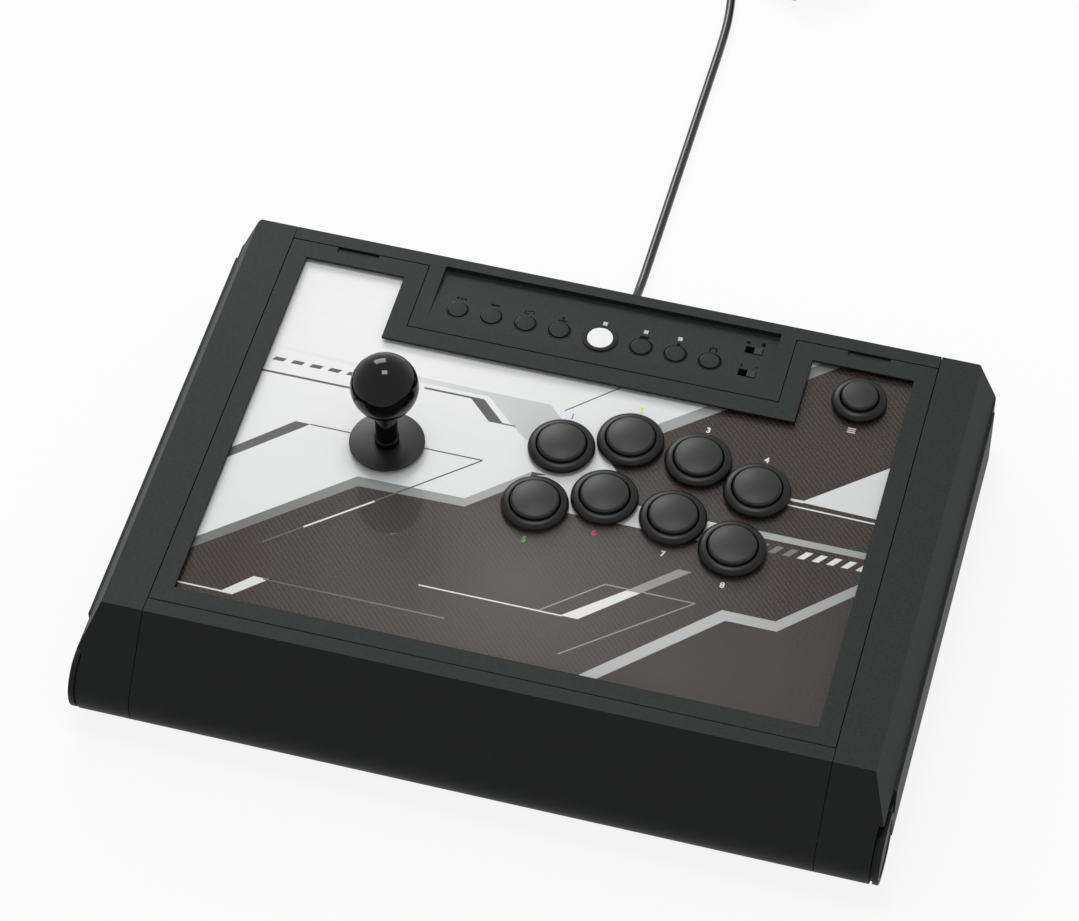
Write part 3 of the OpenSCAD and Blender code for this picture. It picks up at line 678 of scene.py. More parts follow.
@dataclass
class CordSet:
    """The cord with its strain relief, coil, tie and plug, lying straight back from the rear wall."""

    length: float = 3000.0
    diameter: float = 5.0
    rear: float = 148.1
    gland_height: float = 12.0
    relief_end: float = 14.0
    lift: float = 2.6
    coil_centre: Point2 = (30.0, 483.1)
    inner: float = 22.5
    layers: int = 4
    turns: int = 4
    step: int = 15
    shift_turn: int = 40
    shift_ahead: int = 80
    plug_end: Point3 = (98.0, 513.1, 4.0)
    plug_shell: float = 131.9

    def coil_route(self) -> list[Point3]:
        """Winds the coil layer by layer, clockwise from the left, and ends at the rear.

        Returns:
            Its points. Each layer steps a diameter in or out once a turn, ahead of where it climbed.
        """
        outer = self.inner + (self.turns - 1) * self.diameter
        layer_turn = 360 * self.turns - 90
        # the last layer runs on past its last shift, and back to the rear
        last = layer_turn * (self.layers - 1) + 360 * (self.turns - 1) + self.shift_turn
        end = 360 * math.floor((last - 90) / 360) + 90
        points = []
        for angle in range(0, end + 1, self.step):
            layer = min(angle // layer_turn, self.layers - 1)
            into = angle - layer * layer_turn
            starts = [360 * n - self.shift_ahead for n in range(1, self.turns)]
            moves = sum(self.ease((into - start) / self.shift_turn) for start in starts)
            radius = outer - moves * self.diameter if layer % 2 == 0 else self.inner + moves * self.diameter
            climb = 0.0
            if layer < self.layers - 1:
                climb = self.ease((into - (layer_turn - self.shift_turn)) / self.shift_turn)
            turn = math.radians(angle)
            x = self.coil_centre[0] - radius * math.cos(turn)
            y = self.coil_centre[1] + radius * math.sin(turn)
            points.append((x, y, self.lift + (layer + climb) * self.diameter))
        return points

    @staticmethod
    def ease(share: float) -> float:
        """Gives a smooth step from 0 to 1."""
        clipped = min(max(share, 0.0), 1.0)
        return clipped * clipped * (3 - 2 * clipped)

    def route(self) -> list[Point3]:
        """Gives the whole line: out of the relief, down to the table, round the coil and on to the plug."""
        z = self.gland_height
        drop = [(0, self.relief_end, z), (0, 24, z - 0.5), (0, 32, z - 2.2), (0, 41, z - 4.9)]
        drop += [(0, 50, z - 7.6), (0, 60, self.lift + 0.5)]
        drop += [(0, v, self.lift) for v in (70, 100, 140, 180, 220, 250)]
        drop += [(-1, 270, self.lift), (-4.5, 292, self.lift), (-7, 312, self.lift)]
        run = [(x, self.rear + d, h) for x, d, h in drop]
        top = self.lift + (self.layers - 1) * self.diameter
        tail = [(44, 520.4, top - 1.6), (58, 518.6, top - 8), (70, 515.8, 6.4), (82, 513.8, 4.4)]
        return [*run, *self.coil_route(), *tail, self.plug_end]

    def build_cord(self) -> Obj:
        """Builds the cord as one open curve."""
        curve = bpy.data.curves.new("usb_cord", "CURVE")
        curve.dimensions = "3D"
        curve.bevel_depth = self.diameter / 2 * MM
        curve.bevel_resolution = 3
        curve.resolution_u = 4
        curve.use_fill_caps = True
        points = self.route()
        line = curve.splines.new("NURBS")
        line.points.add(len(points) - 1)
        for point, place in zip(line.points, points):
            point.co = (*metres(*place), 1.0)
        line.order_u = 3
        line.use_endpoint_u = True
        cord = link(bpy.data.objects.new("usb_cord", curve))
        curve.materials.append(RUBBER.material())
        return place_piece(cord, "base", "rubber", "cord", "cord_coil")

    def build_relief(self) -> Obj:
        """Builds the ribbed strain relief in the rear wall."""
        profile = [(2.5, -4.1), (7.2, -4.1), (7.2, -2.5), (4.9, -2.5), (4.9, 0), (6.4, 0)]
        profile += [(6.6, 0.4), (6.6, 1.8), (5.4, 3.0)]
        ribs, pitch, taper = 6, 3.2, 0.24
        for k in range(ribs):
            z, r = 4.0 + k * pitch, 5.0 - k * taper
            profile += [(r - 0.7, z), (r, z + 0.3), (r, z + 1.9), (r - 0.7, z + 2.2)]
        profile += [(3.5, 23.6), (3.1, 24.0), (2.5, 24.0), (2.5, -4.1)]
        relief = turned("strain_relief", profile, RUBBER, sides=40)
        lying = Matrix.Rotation(math.radians(-90), 4, "X")
        relief.data.transform(Matrix.Translation(metres(0, self.rear, self.gland_height)) @ lying)
        return place_piece(relief, "base", "rubber", "cord_gland")

    def build(self) -> None:
        """Builds the cord and what is on it."""
        relief = self.build_relief()
        plug = recast("usb_plug", RUBBER, "rubber", 0.5)
        plug.data.materials.append(STEEL.material())
        for face in plug.data.polygons:
            face.material_index = 1 if face.center.x > self.plug_shell * MM else 0
        tie = recast("cord_tie", RUBBER, "rubber", 0.3)
        self.build_cord()


# ---- the case


@dataclass
class Case:
    """The base, the hinge caps, the lid's mouldings and what is inside them."""

    shell_bevel: float = 0.5
    bezel_bevel: float = 0.35
    slope_rear: float = -116.5
    rear_corner: Point3 = (196.4, 148.1, 64.0)
    corner_radius: float = 4.5
    flare: Point2 = (8.8, 20.0)
    spring_rear: float = 121.1
    spring_length: float = 4.8
    spring_travel: float = 3.1
    roll_axis: Point2 = (-129.6, 20.1)
    roll_inside: float = 15.8
    roll_seam: float = 174.9
    lap_size: Point2 = (6.0, 0.8)
    blind_middle: Point3 = (203.4, -116.9, 37.6)
    blind_size: Point3 = (1.0, 13.0, 11.6)

    def shade_front(self, obj: Obj) -> None:
        """Gives the front slope and roll of a lid moulding the darker copy of the case finish, as painted
        shade on the faces that turn away from the lamps.
        """
        obj.data.materials.append(SHADED_ABS.material())
        for face in obj.data.polygons:
            if face.normal.y < -0.3 and face.center.y < self.slope_rear * MM:
                face.material_index = 1

    def round_rear_corner(self, side: int) -> None:
        """Rounds the corner between a cheek's flared side and its rear wall with flat cuts along it."""
        out, drop = self.flare
        flank = Vector((side * drop, 0, out)).normalized()
        rear = Vector((0, 1, 0))
        x, y, z = self.rear_corner
        axis = Vector((side * x, y, z)) - self.corner_radius * (flank + rear)
        for degrees in range(15, 90, 15):
            turn = math.radians(degrees)
            normal = flank * math.cos(turn) + rear * math.sin(turn)
            bpy.ops.mesh.select_all(action="SELECT")
            bpy.ops.mesh.bisect(
                plane_co=(axis + self.corner_radius * normal) * MM,
                plane_no=normal,
                threshold=0.001 * MM,
                use_fill=True,
                clear_outer=True,
            )

    def build_latch_spring(self, side: int, word: str) -> None:
        """Builds a latch's spring by itself: the springs' part on one side, with a mesh of its own."""
        spring = recast("latch_springs", STEEL, "steel", 0, f"{word}_wire")
        with editing(spring):
            bpy.ops.mesh.bisect(plane_co=(0, 0, 0), plane_no=(side, 0, 0), clear_inner=True)
        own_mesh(spring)

    def build_seam_lap(self, side: int, word: str) -> None:
        """Builds the thin lap behind a seam of the roll, which keeps light and dust out."""
        wide, thick = self.lap_size
        inner = self.roll_inside - thick
        profile = arc((0, 0), self.roll_inside, -115, 40, 20) + arc((0, 0), inner, 40, -115, 20)
        circle = {"vertices": len(profile), "radius": MM, "fill_type": "NGON"}
        lap = primitive(bpy.ops.mesh.primitive_circle_add, **circle)
        for vertex, (out, up) in zip(lap.data.vertices, profile):
            vertex.co = metres(0, self.roll_axis[0] - out, self.roll_axis[1] + up)
        with editing(lap):
            extrude(wide, 0, 0)
            bpy.ops.mesh.select_all(action="SELECT")
            bpy.ops.mesh.normals_make_consistent(inside=False)
        lap.location.x = (side * self.roll_seam - wide / 2) * MM
        settle(lap)
        # the lap takes the darker copy of the case ABS, painted shade as on the front roll
        dress(named(lap, f"{word}_seam_lap"), SHADED_ABS)
        place_piece(lap, "lid", "case")

    def build_hinge_blind(self, side: int, word: str) -> None:
        """Builds the thin wall over a hinge ear, which closes the gap behind the roll."""
        x, y, z = self.blind_middle
        blind = primitive(bpy.ops.mesh.primitive_cube_add, size=MM)
        blind.location = metres(side * x, y, z)
        blind.scale = self.blind_size
        settle(blind)
        edge_bevel(blind, 0.25)
        settle(blind)
        dress(named(blind, f"{word}_hinge_blind"), CASE)
        place_piece(blind, "base", "case")

    def build(self) -> None:
        """Builds the mouldings with rounded edges and repaints the inner parts."""
        # the front faces of the shell and the cheeks take the darker copy of the case ABS, as painted shade
        self.shade_front(recast("lid_shell", CASE, "case", self.shell_bevel))
        sides = ((-1, "left"), (1, "right"))
        for side, word in sides:
            trim = partial(self.round_rear_corner, side)
            self.shade_front(recast(f"{word}_cheek", CASE, "case", self.shell_bevel, trim=trim))
        recast("bezel", CASE, "case", self.bezel_bevel)
        recast("base_tray", CASE, "case", self.shell_bevel)
        # the hinge caps take the darker copy of the case ABS, painted shade as on the front roll
        recast("hinge_caps", SHADED_ABS, "case")
        recast("rubber_feet", FOOT, "rubber", 0.6)
        recast("left_latch", CAP, "cap")
        recast("right_latch", CAP, "cap")
        for build in (self.build_seam_lap, self.build_hinge_blind, self.build_latch_spring):
            for side, word in sides:
                build(side, word)
        repaint(STEEL, "hinge_pins", "steel_panel", "panel_screws", "lever_plate", "lever_clip")
        repaint(BOARD, "main_board", "control_board")
        repaint(INNER, "lever_housing", "lever_gate", "lever_switches", "button_switches")


# ---- the printed sheet and its cover


@dataclass
class Area:
    """One flat area of ink: its ink and its corners on the sheet."""

    ink: Ink
    corners: Sequence[Point2]

    def edges(self) -> Iterator[tuple[Point2, Point2]]:
        """Lists its edges as pairs of corners."""
        return zip(self.corners, [*self.corners[1:], self.corners[0]])

    def holds(self, x: float, y: float) -> bool:
        """Tells if a point lies in it."""
        found = False
        for (x0, y0), (x1, y1) in self.edges():
            if (y0 > y) != (y1 > y) and x < (x1 - x0) * (y - y0) / (y1 - y0) + x0:
                found = not found
        return found


@dataclass
class PrintedTop:
    """The printed sheet, its clear cover and the marks beside the buttons."""

    edge: float = 180.0
    cover_lift: float = 0.06
    mark_size: float = 4.8
    mark_weight: float = 0.16
    mark_lift: float = 0.02
    ink_height: float = 0.01
    rear_shift: float = 22.5
    front_shift: float = -21.5
    areas: list[Area] = field(default_factory=list)

    def fill(self, ink: Ink, *corners: Point2) -> None:
        """Lays an area of ink."""
        self.areas.append(Area(ink, corners))

    def line(self, ink: Ink, width: float, *points: Point2) -> None:
        """Lays a line of some width through points, as one area for each straight run."""
        for (x0, y0), (x1, y1) in zip(points, points[1:]):
            long = math.hypot(x1 - x0, y1 - y0)
            nx, ny = -(y1 - y0) / long * width / 2, (x1 - x0) / long * width / 2
            self.fill(ink, (x0 + nx, y0 + ny), (x1 + nx, y1 + ny), (x1 - nx, y1 - ny), (x0 - nx, y0 - ny))

    def draw(self) -> None:
        """Lays out the plain geometric pattern, from the back layer to the front."""
        e, fill, line = self.edge, self.fill, self.line
        # the light field, its tongue between the buttons, and the grey edge below it
        rise = [(-e, -76), (-96.8, -4.8), (-40.5, -4.4), (-12, 21)]
        fill(Ink.LIGHT, *rise, (8, 21), (34, 28), (17, 45.5), (20, 49), (129, 140), (-e, 140))
        fill(Ink.LIGHT, (-12, 18), (8, 0), (84, 0), (96, 13), (30, 14), (20, 30))
        fill(Ink.SILVER, *rise, (-12, 14.5), (-39.1, -9.5), (-95, -10.8), (-e, -82.9))
        fill(Ink.SILVER, (20, 49), (20, 40.3), (138, 140), (129, 140))
        # light grey wedge and the bands beside it
        fill(Ink.SHADE, (-e, 68), (-50, 66), (-14, 66), (-4, 56), (-20, 40), (-30, 48), (-46, 63), (-100, 63))
        line(Ink.LINE, 1.3, (-e, 50), (-96, 50))
        line(Ink.LINE, 1.2, (-80, 60), (-54, 60))
        fill(Ink.LINE, (-56, 60.6), (-48, 60.6), (-34, 47), (-42, 47))
        line(Ink.LINE, 0.8, (-42, 47.4), (-28, 47.4))
        for x in range(-162, -112, 10):
            fill(Ink.LINE, (x, 58), (x + 6, 58), (x + 7.5, 60.4), (x + 1.5, 60.4))
        fill(Ink.LINE, (-e, -17.5), (-138, 21.6), (-130, 21.6), (-e, -24))
        line(Ink.LINE, 0.8, (-130, 21.5), (-38.2, 21.5), (-74, -9.3))
        line(Ink.LINE, 0.7, (-6, 64), (22, 90))
        # the plain field at the lower right under its silver band
        fill(Ink.PLAIN, (34, -110), (104, -44), (130, -44), (e, 0), (e, -110))
        band = [(28, -110), (102, -39), (129, -39), (e, 9), (e, 2), (131, -45), (105, -45), (37, -110)]
        fill(Ink.SILVER, *band)
        # light lines over the dark field
        line(Ink.WHITE, 0.9, (-e, -92), (-142, -92))
        fill(Ink.WHITE, (-143, -92.6), (-129, -79), (-121, -79), (-136, -92.6))
        line(Ink.FAINT, 0.8, (-124, -79.5), (-30, -79.5))
        line(Ink.WHITE, 0.8, (-48, -63), (26, -63))
        line(Ink.FAINT, 0.7, (14, -62.6), (42, -38.6), (88, -38.6), (30, -86))
        fill(Ink.WHITE, (25, -63), (34, -63), (60, -39.6), (53, -39.6))
        fill(Ink.FAINT, (60, -39.6), (53, -39.6), (75, -20), (82, -20))
        line(Ink.FAINT, 0.8, (-74, -9.3), (-131.3, -57.4))
        line(Ink.WHITE, 1.0, (-84, -18), (-114, -42.9))
        # the wedge, the bar and the slanting ticks at the right
        fill(Ink.LIGHT, (126, 38.4), (e, 84), (e, 36), (122, 37.2))
        line(Ink.WHITE, 1.6, (104, 37.6), (126, 37.6))
        line(Ink.WHITE, 0.9, (104, 34), (e, 33))
        fill(Ink.SILVER, (96, 14), (e, 14), (e, 10), (92, 10))
        for k in range(8):
            x = 108 + 7.5 * k
            fill(Ink.FAINT if k < 3 else Ink.WHITE, (x, 2), (x + 3.6, 2), (x + 7.6, 7), (x + 4, 7))
        fill(Ink.SILVER, (106, 112.6), (137, 140), (106, 140))
        fill(Ink.WHITE, (106, 121), (127, 140), (106, 140))

    def edge_lines(self) -> list[tuple[Point2, Point2]]:
        """Lists the straight lines that the edges of the areas lie on, each once.

        Returns:
            A point and the normal of each line.
        """
        lines: dict[tuple[int, int], tuple[Point2, Point2]] = {}
        for area in self.areas:
            for (x0, y0), (x1, y1) in area.edges():
                long = math.hypot(x1 - x0, y1 - y0)
                nx, ny = (y1 - y0) / long, (x0 - x1) / long
                if nx < 0 or (nx == 0 and ny < 0):
                    nx, ny = -nx, -ny
                key = (round(math.atan2(ny, nx) * 400), round((nx * x0 + ny * y0) * 20))
                lines.setdefault(key, ((x0, y0), (nx, ny)))
        return list(lines.values())

    def build_sheet(self) -> None:
        """Cuts the sheet's top into its areas and gives each its ink."""
        self.draw()
        inks = list(Ink)
        sheet = recast("art_sheet", inks[0].value, "print", 0, "print")
        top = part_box("art_sheet")[1].z
        for ink in inks[1:]:
            sheet.data.materials.append(ink.value.material())
        with editing(sheet):
            bpy.ops.mesh.quads_convert_to_tris()
            for (x, y), (nx, ny) in self.edge_lines():
                bpy.ops.mesh.select_all(action="SELECT")
                bpy.ops.mesh.bisect(plane_co=metres(x, y, 0), plane_no=(nx, ny, 0), threshold=0.0005 * MM)
        for face in sheet.data.polygons:
            face.use_smooth = False
            if face.center.z < top - 0.01 * MM:
                continue
            for area in self.areas:
                if area.holds(face.center.x / MM, face.center.y / MM):
                    face.material_index = inks.index(area.ink)

    def build_cover(self) -> None:
        """Builds the clear cover a hair above the print, with polished edges."""
        cover = recast("clear_cover", CLEAR, "clear", 0, "acrylic")
        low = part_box("clear_cover")[0].z
        for vertex in cover.data.vertices:
            if vertex.co.z < low + 0.01 * MM:
                vertex.co.z += self.cover_lift * MM

    def build_mark(self, text: str, place: Point2, height: float, finish: Finish) -> Obj:
        """Prints one plain number as a thin film of ink on the sheet."""
        settings = primitive(bpy.ops.object.text_add).data
        settings.body = text
        settings.size = self.mark_size * MM
        settings.align_x = "CENTER"
        settings.align_y = "CENTER"
        settings.resolution_u = 4
        settings.offset = self.mark_weight * MM
        settings.extrude = self.ink_height * MM
        bpy.ops.object.convert(target="MESH")
        mark = bpy.context.object
        mark.location = (place[0] * MM, place[1] * MM, height)
        settle(mark)
        dress(mark, finish)
        return mark

    def build_marks(self, places: Sequence[Point2], menu: Point2) -> None:
        """Numbers the play buttons, behind the rear row and ahead of the front row."""
        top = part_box("art_sheet")[1].z + self.mark_lift * MM
        words = ("blue", "yellow", "white", "white", "green", "red", "white", "white")
        for k, ((x, y), word) in enumerate(zip(places, words), 1):
            shift = self.rear_shift if k <= len(places) // 2 else self.front_shift
            mark = self.build_mark(str(k), (x, y + shift), top, MARKS[word])
            place_piece(named(mark, f"play_mark_{k}"), "lid", "print")
        bars = []
        for drop in (17.0, 18.3, 19.6):
            place = (menu[0] * MM, (menu[1] - drop) * MM, top)
            bar = primitive(bpy.ops.mesh.primitive_plane_add, size=MM, location=place)
            bar.scale = (4.2, 0.6, 1.0)
            settle(bar)
            with editing(bar):
                extrude(0, 0, self.ink_height)
            dress(bar, MARKS["white"])
            bars.append(bar)
        place_piece(joined(bars, "menu_mark"), "lid", "print")


# ---- buttons


@dataclass
class PlayButtons:
    """The eight play buttons and the menu button: snap-in housings with round rims, and crowned caps."""

    cover_top: float = 62.5
    housing_bottom: float = 44.5
    floor: float = 2.0
    travel: float = 3.0
    rim_over: float = 2.4
    rim_height: float = 3.4
    rim_lip: float = 0.35
    cap_rise: float = 3.0
    cap_gap: float = 0.55
    cap_fillet: float = 1.9
    skirt: float = 12.0
    cap_wall: float = 1.5
    crown: float = 60.0
    stem: float = 2.5
    wall: float = 1.9
    play: float = 30.0
    menu: float = 24.0
    places: tuple[Point2, ...] = (
        (-1.1, 38.75), (32.0, 51.75), (68.6, 47.95), (102.0, 36.55),
        (-4.7, -0.45), (28.4, 12.55), (65.0, 8.75), (98.4, -2.65),
    )
    menu_place: Point2 = (139.5, 107.7)

    def housing_profile(self, size: float) -> list[Point2]:
        """Gives the housing's profile: its base, its body, the rounded rim and the bore."""
        body, rim, bore = size / 2 - 0.4, size / 2 + self.rim_over, size / 2 - self.wall
        low, base, top = self.housing_bottom, self.cover_top, self.cover_top + self.rim_height
        points = [(0, low), (body, low), (body, base - 0.02), (rim - 0.3, base + 0.01)]
        points.append((rim, base + self.rim_lip))
        # the rim's outer slope is a quarter of a flat oval
        start = bore + self.rim_lip
        for degrees in range(6, 91, 7):
            a = math.radians(degrees)
            out, up = (rim - start) * math.cos(a), (self.rim_height - 0.5) * math.sin(a)
            points.append((start + out, base + 0.5 + up))
        return [*points, (bore, top - self.rim_lip), (bore, low + self.floor), (0, low + self.floor)]

    def cap_profile(self, size: float) -> list[Point2]:
        """Gives the cap's profile: its crown, the rounded edge, the skirt and the stem."""
        top = self.cover_top + self.rim_height + self.cap_rise
        radius = size / 2 - self.wall - self.cap_gap
        low, ceiling, inner = top - self.skirt, top - 4, radius - self.cap_wall
        flat = radius - self.cap_fillet
        reach = math.degrees(math.asin(flat / self.crown))
        points = arc((0, top - self.crown), self.crown, 90, 90 - reach, 9)
        points += arc((flat, points[-1][1] - self.cap_fillet), self.cap_fillet, 84, 0, 7)
        points += [(radius, low), (inner, low), (inner, ceiling), (self.stem, ceiling)]
        foot = self.housing_bottom + self.floor + self.travel + 0.3
        return [*points, (self.stem, foot), (0, foot)]

    def build(self) -> None:
        """Models one rim and one cap of each size and copies them to their places."""
        x0, y0 = self.places[0]
        rim = turned("play_rim_1", self.housing_profile(self.play), RIM, (x0, y0, 0))
        cap = turned("play_cap_1", self.cap_profile(self.play), CAP, (x0, y0, 0))
        copies = []
        for k, (x, y) in enumerate(self.places[1:], 2):
            shift = (x - x0, y - y0, 0)
            copies.append((copy_of(rim, f"play_rim_{k}", shift), copy_of(cap, f"play_cap_{k}", shift)))
        place_piece(rim, "lid", "cap", "play_housings")
        place_piece(cap, "play_button_1", "cap", "play_button_1")
        for k, (next_rim, next_cap) in enumerate(copies, 2):
            place_piece(next_rim, "lid", "cap")
            place_piece(next_cap, f"play_button_{k}", "cap", f"play_button_{k}")
        menu_rim = turned("menu_rim", self.housing_profile(self.menu), RIM, (*self.menu_place, 0))
        menu_cap = turned("menu_cap", self.cap_profile(self.menu), CAP, (*self.menu_place, 0))
        place_piece(menu_rim, "lid", "cap", "menu_housing")
        place_piece(menu_cap, "menu_button", "cap", "menu_button")


# ---- the lever


@dataclass
class Lever:
    """The lever: the polished ball, its sleeve with a collar, the dust washers and the mechanism below."""

    place: Point3 = (-88.1, 18.752, 0.0)
    ball_centre: float = 107.5
    ball_radius: float = 17.5
    socket_depth: float = 1.4
    shaft_end: float = 6.0
    sleeve_radius: float = 5.75
    sleeve_low: float = 56.4
    shaft_radius: float = 3.5
    collar: float = 66.2
    spring_low: float = 39.3
    spring_keep: float = 0.75
    washer_radius: float = 19.5
    washer_low: float = 62.8
    washer_high: float = 64.0

    def build_ball(self) -> None:
        """Turns the ball with the recess that takes the sleeve."""
        low = math.degrees(math.asin(self.sleeve_radius / self.ball_radius))
        profile = arc((0, self.ball_centre), self.ball_radius, 90, -90 + low, 56)
        neck = self.ball_centre - self.ball_radius + self.socket_depth
        end = self.ball_centre + self.shaft_end
        profile += [(self.sleeve_radius, neck), (self.shaft_radius, neck), (self.shaft_radius, end), (0, end)]
        place_piece(turned("ball_grip", profile, GLOSS, self.place, 96), "lever", "gloss", "ball_top")

    def build_sleeve(self) -> None:
        """Turns the sleeve, which widens to a collar above the washer."""
        r, wide, hole, seat = self.sleeve_radius, self.sleeve_radius + 0.7, self.shaft_radius, self.collar
        low, high = self.sleeve_low, self.ball_centre - self.ball_radius + self.socket_depth
        profile = [(hole, low), (r - 0.3, low), (r, low + 0.3), (r, seat), (wide - 0.3, seat)]
        profile += [(wide, seat + 0.3), (wide, seat + 1.9), (wide - 0.2, seat + 2.2), (r, seat + 2.4)]
        profile += [(r, high), (hole, high), (hole, low)]
        sleeve = turned("shaft_sleeve_tube", profile, GLOSS, self.place)
        place_piece(sleeve, "lever", "gloss", "shaft_sleeve")

    def build_washer(self) -> None:
        """Turns the dust washer with soft edges."""
        hole, r, low, high = self.sleeve_radius + 0.4, self.washer_radius, self.washer_low, self.washer_high
        profile = [(hole, low), (r - 0.2, low), (r, low + 0.2), (r, high - 0.4)]
        profile += [(r - 0.15, high - 0.12), (r - 0.45, high), (hole + 0.2, high), (hole, high - 0.2)]
        profile.append((hole, low))
        washer = turned("dust_washer_disc", profile, CAP, self.place, 96)
        place_piece(washer, "dust_washer", "cap", "dust_washer")

    def build(self) -> None:
        """Builds what shows and repaints the mechanism."""
        self.build_ball()
        self.build_sleeve()
        self.build_washer()
        repaint(CAP, "lower_washer")
        repaint(ACETAL, "lever_pivot", "spring_seat", "lever_actuator")
        spring = recast("lever_spring", STEEL, "steel", 0, "wire")
        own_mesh(spring)
        recast("lever_shaft", STEEL, "steel", 0.2, "rod")


# ---- the control strip


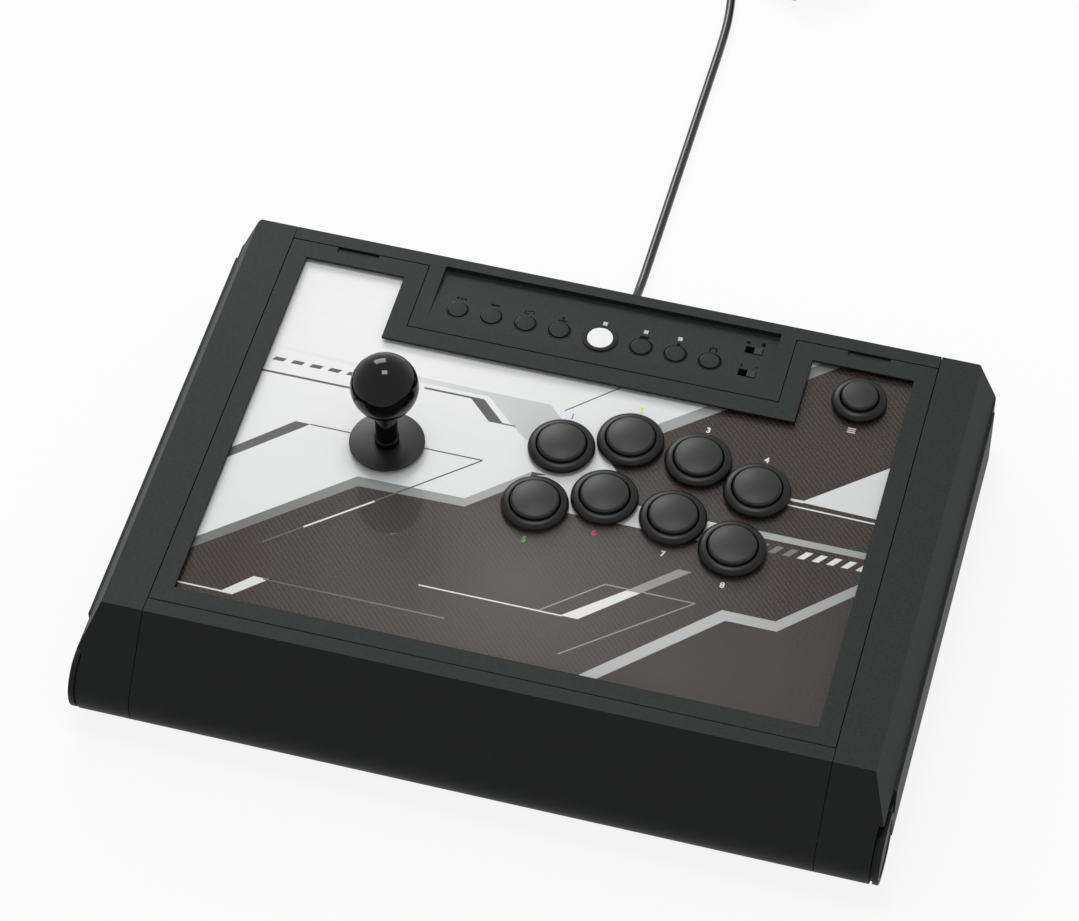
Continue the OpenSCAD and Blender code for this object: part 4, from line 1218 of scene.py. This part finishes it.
@dataclass
class ControlStrip:
    """The small buttons, the home button, the two slide switches, the lights and their plain marks."""

    small_y: float = 113.3
    small_radius: float = 5.7
    small_rise: float = 0.75
    small_ring: float = 0.7
    small_guide: Point3 = (0.25, 0.75, 0.12)
    home_radius: float = 7.0
    home_rise: float = 1.1
    home_ring: float = 0.2
    home_guide: Point3 = (0.28, 2.3, 0.72)
    small_xs: tuple[float, ...] = (-77.2, -58.8, -40.4, -22.0, 22.0, 40.4, 58.8)
    recess_front: float = 103.9
    recess_rear: float = 140.4
    recess_depth: float = 3.0
    top: float = 64.0
    body: float = 4.6
    stem: Point2 = (1.5, 56.1)
    mark_y: float = 121.9
    mark_rise: float = 0.05
    mark_scale: float = 1.35
    ink_height: float = 0.02

    @property
    def slope(self) -> float:
        """How far the recess falls for each millimetre to the rear."""
        return self.recess_depth / (self.recess_rear - self.recess_front)

    def floor_at(self, y: float) -> float:
        """Gives the height of the sloping recess at a place."""
        return self.top - self.slope * (y - self.recess_front)

    def button_profile(self, radius: float, rise: float, ring: float) -> list[Point2]:
        """Gives a flat-topped button: a soft edge, then a sloping ring down to its side."""
        base = self.floor_at(self.small_y)
        high, low, flat = base + rise, base - self.body, radius - ring - 0.3
        points = [(0, high), (flat, high), *arc((flat, high - 0.3), 0.3, 80, 0, 4)]
        points += [(radius - ring, base + 0.1), (radius - 0.15, base + 0.02), (radius, base - 0.1)]
        return [*points, (radius, low), (self.stem[0], low), self.stem, (0, self.stem[1])]

    def ring_faces(self, obj: Obj, x: float, inner: float) -> None:
        """Gives the sloping ring round a button its gloss black."""
        obj.data.materials.append(GUIDE.material())
        for face in obj.data.polygons:
            if math.hypot(face.center.x / MM - x, face.center.y / MM - self.small_y) > inner:
                face.material_index = 1

    def build_guide(self, name: str, x: float, radius: float, size: Point3) -> None:
        """Turns the gloss ring round a button's opening, which leans with the recess.

        Args:
            name: The ring's name.
            x: Where the button is.
            radius: The button's radius.
            size: How far the ring's inside and outside lie from the button, and how far it stands up.
        """
        inner, outer, rise = radius + size[0], radius + size[1], size[2]
        profile = [(inner, -0.2), (outer, -0.2), (outer, rise - 0.08), (outer - 0.08, rise)]
        profile += [(inner + 0.08, rise), (inner, rise - 0.08), (inner, -0.2)]
        guide = turned(name, profile, GUIDE)
        guide.rotation_euler.x = -math.atan(self.slope)
        guide.location = metres(x, self.small_y, self.floor_at(self.small_y))
        settle(guide)
        place_piece(guide, "lid", "gloss")

    def build_mark(self, name: str, boxes: Sequence[tuple[float, ...]], place: Point2) -> None:
        """Inks a small plain mark made of bars, each given by its middle and size, on the recess."""
        parts = []
        for x, y, wide, deep in boxes:
            px, py = place[0] + x * self.mark_scale, place[1] + y * self.mark_scale
            spot = metres(px, py, self.floor_at(py) + self.mark_rise)
            part = primitive(bpy.ops.mesh.primitive_plane_add, size=MM, location=spot)
            part.scale = (wide * self.mark_scale, deep * self.mark_scale, 1.0)
            part.rotation_euler.x = -math.atan(self.slope)
            settle(part)
            with editing(part):
                extrude(0, 0, self.ink_height)
            parts.append(part)
        mark = joined(parts, name)
        dress(mark, MARK_DARK)
        place_piece(mark, "lid", "print")

    def build_marks(self) -> None:
        """Inks a plain mark behind each small button and beside each switch."""
        marks = [
            [(-1.5, 0, 0.9, 0.9), (0, 0, 0.9, 0.9), (1.5, 0, 0.9, 0.9)],
            [(0, 0, 3.6, 0.9)],
            [(-0.8, 0.5, 2.0, 0.35), (-0.8, -0.9, 2.0, 0.35), (-1.7, -0.2, 0.35, 1.6), (0.9, 0.9, 2.0, 0.35),
             (1.8, 0.1, 0.35, 1.6)],
            [(0, -0.9, 3.6, 0.5), (0, 0.3, 0.5, 1.6), (0, 1.0, 1.5, 0.5)],
            [(0, -1.2, 3.4, 1.9)],
            [(0, -1.2, 1.3, 1.9)],
            [(0, 0.9, 2.0, 0.5), (-1.2, -0.2, 0.6, 1.8), (1.2, -0.2, 0.6, 1.8)],
        ]
        for k, (x, boxes) in enumerate(zip(self.small_xs, marks), 1):
            self.build_mark(f"small_mark_{k}", boxes, (x, self.mark_y))
        dots = [(-3, 0, 1.3, 1.3), (3, 0, 1.6, 1.6), (3, 0.9, 0.8, 0.8)]
        self.build_mark("switch_mark_1", dots, (79.3, 132.2))
        self.build_mark("switch_mark_2", [(-3, 0, 0.5, 1.5), (3, 0, 1.1, 0.5)], (79.3, 115.4))

    def build(self) -> None:
        """Builds the strip's controls."""
        profile = self.button_profile(self.small_radius, self.small_rise, self.small_ring)
        for k, x in enumerate(self.small_xs, 1):
            button = turned(f"small_cap_{k}", profile, CASE, (x, self.small_y, 0), 48)
            self.ring_faces(button, x, self.small_radius - 0.72)
            self.build_guide(f"small_guide_{k}", x, self.small_radius, self.small_guide)
            place_piece(button, f"small_button_{k}", "cap", f"small_button_{k}")
        self.build_guide("home_guide", 0, self.home_radius, self.home_guide)
        profile = self.button_profile(self.home_radius, self.home_rise, self.home_ring)
        home = turned("home_cap", profile, WHITE_CAP, (0, self.small_y, 0))
        self.ring_faces(home, 0, self.home_radius - 0.12)
        place_piece(home, "home_button", "white_cap", "home_button")
        recast("lock_switch", CAP, "cap", 0.2, "knob")
        recast("mode_switch", CAP, "cap", 0.2, "knob")
        repaint(FROSTED, "status_lights")
        self.build_marks()


def main() -> None:
    """Builds the scene: the camera and the cord first, then the controller."""
    logging.basicConfig(level=logging.INFO, format="%(name)s: %(message)s")
    buttons = PlayButtons()
    printed = PrintedTop()
    stages: list[Callable[[], None]] = [
        Studio().build,
        CordSet().build,
        Case().build,
        printed.build_sheet,
        printed.build_cover,
        buttons.build,
        Lever().build,
        ControlStrip().build,
    ]
    for stage in stages:
        stage()
    printed.build_marks(buttons.places, buttons.menu_place)


if __name__ == "__main__":
    main()
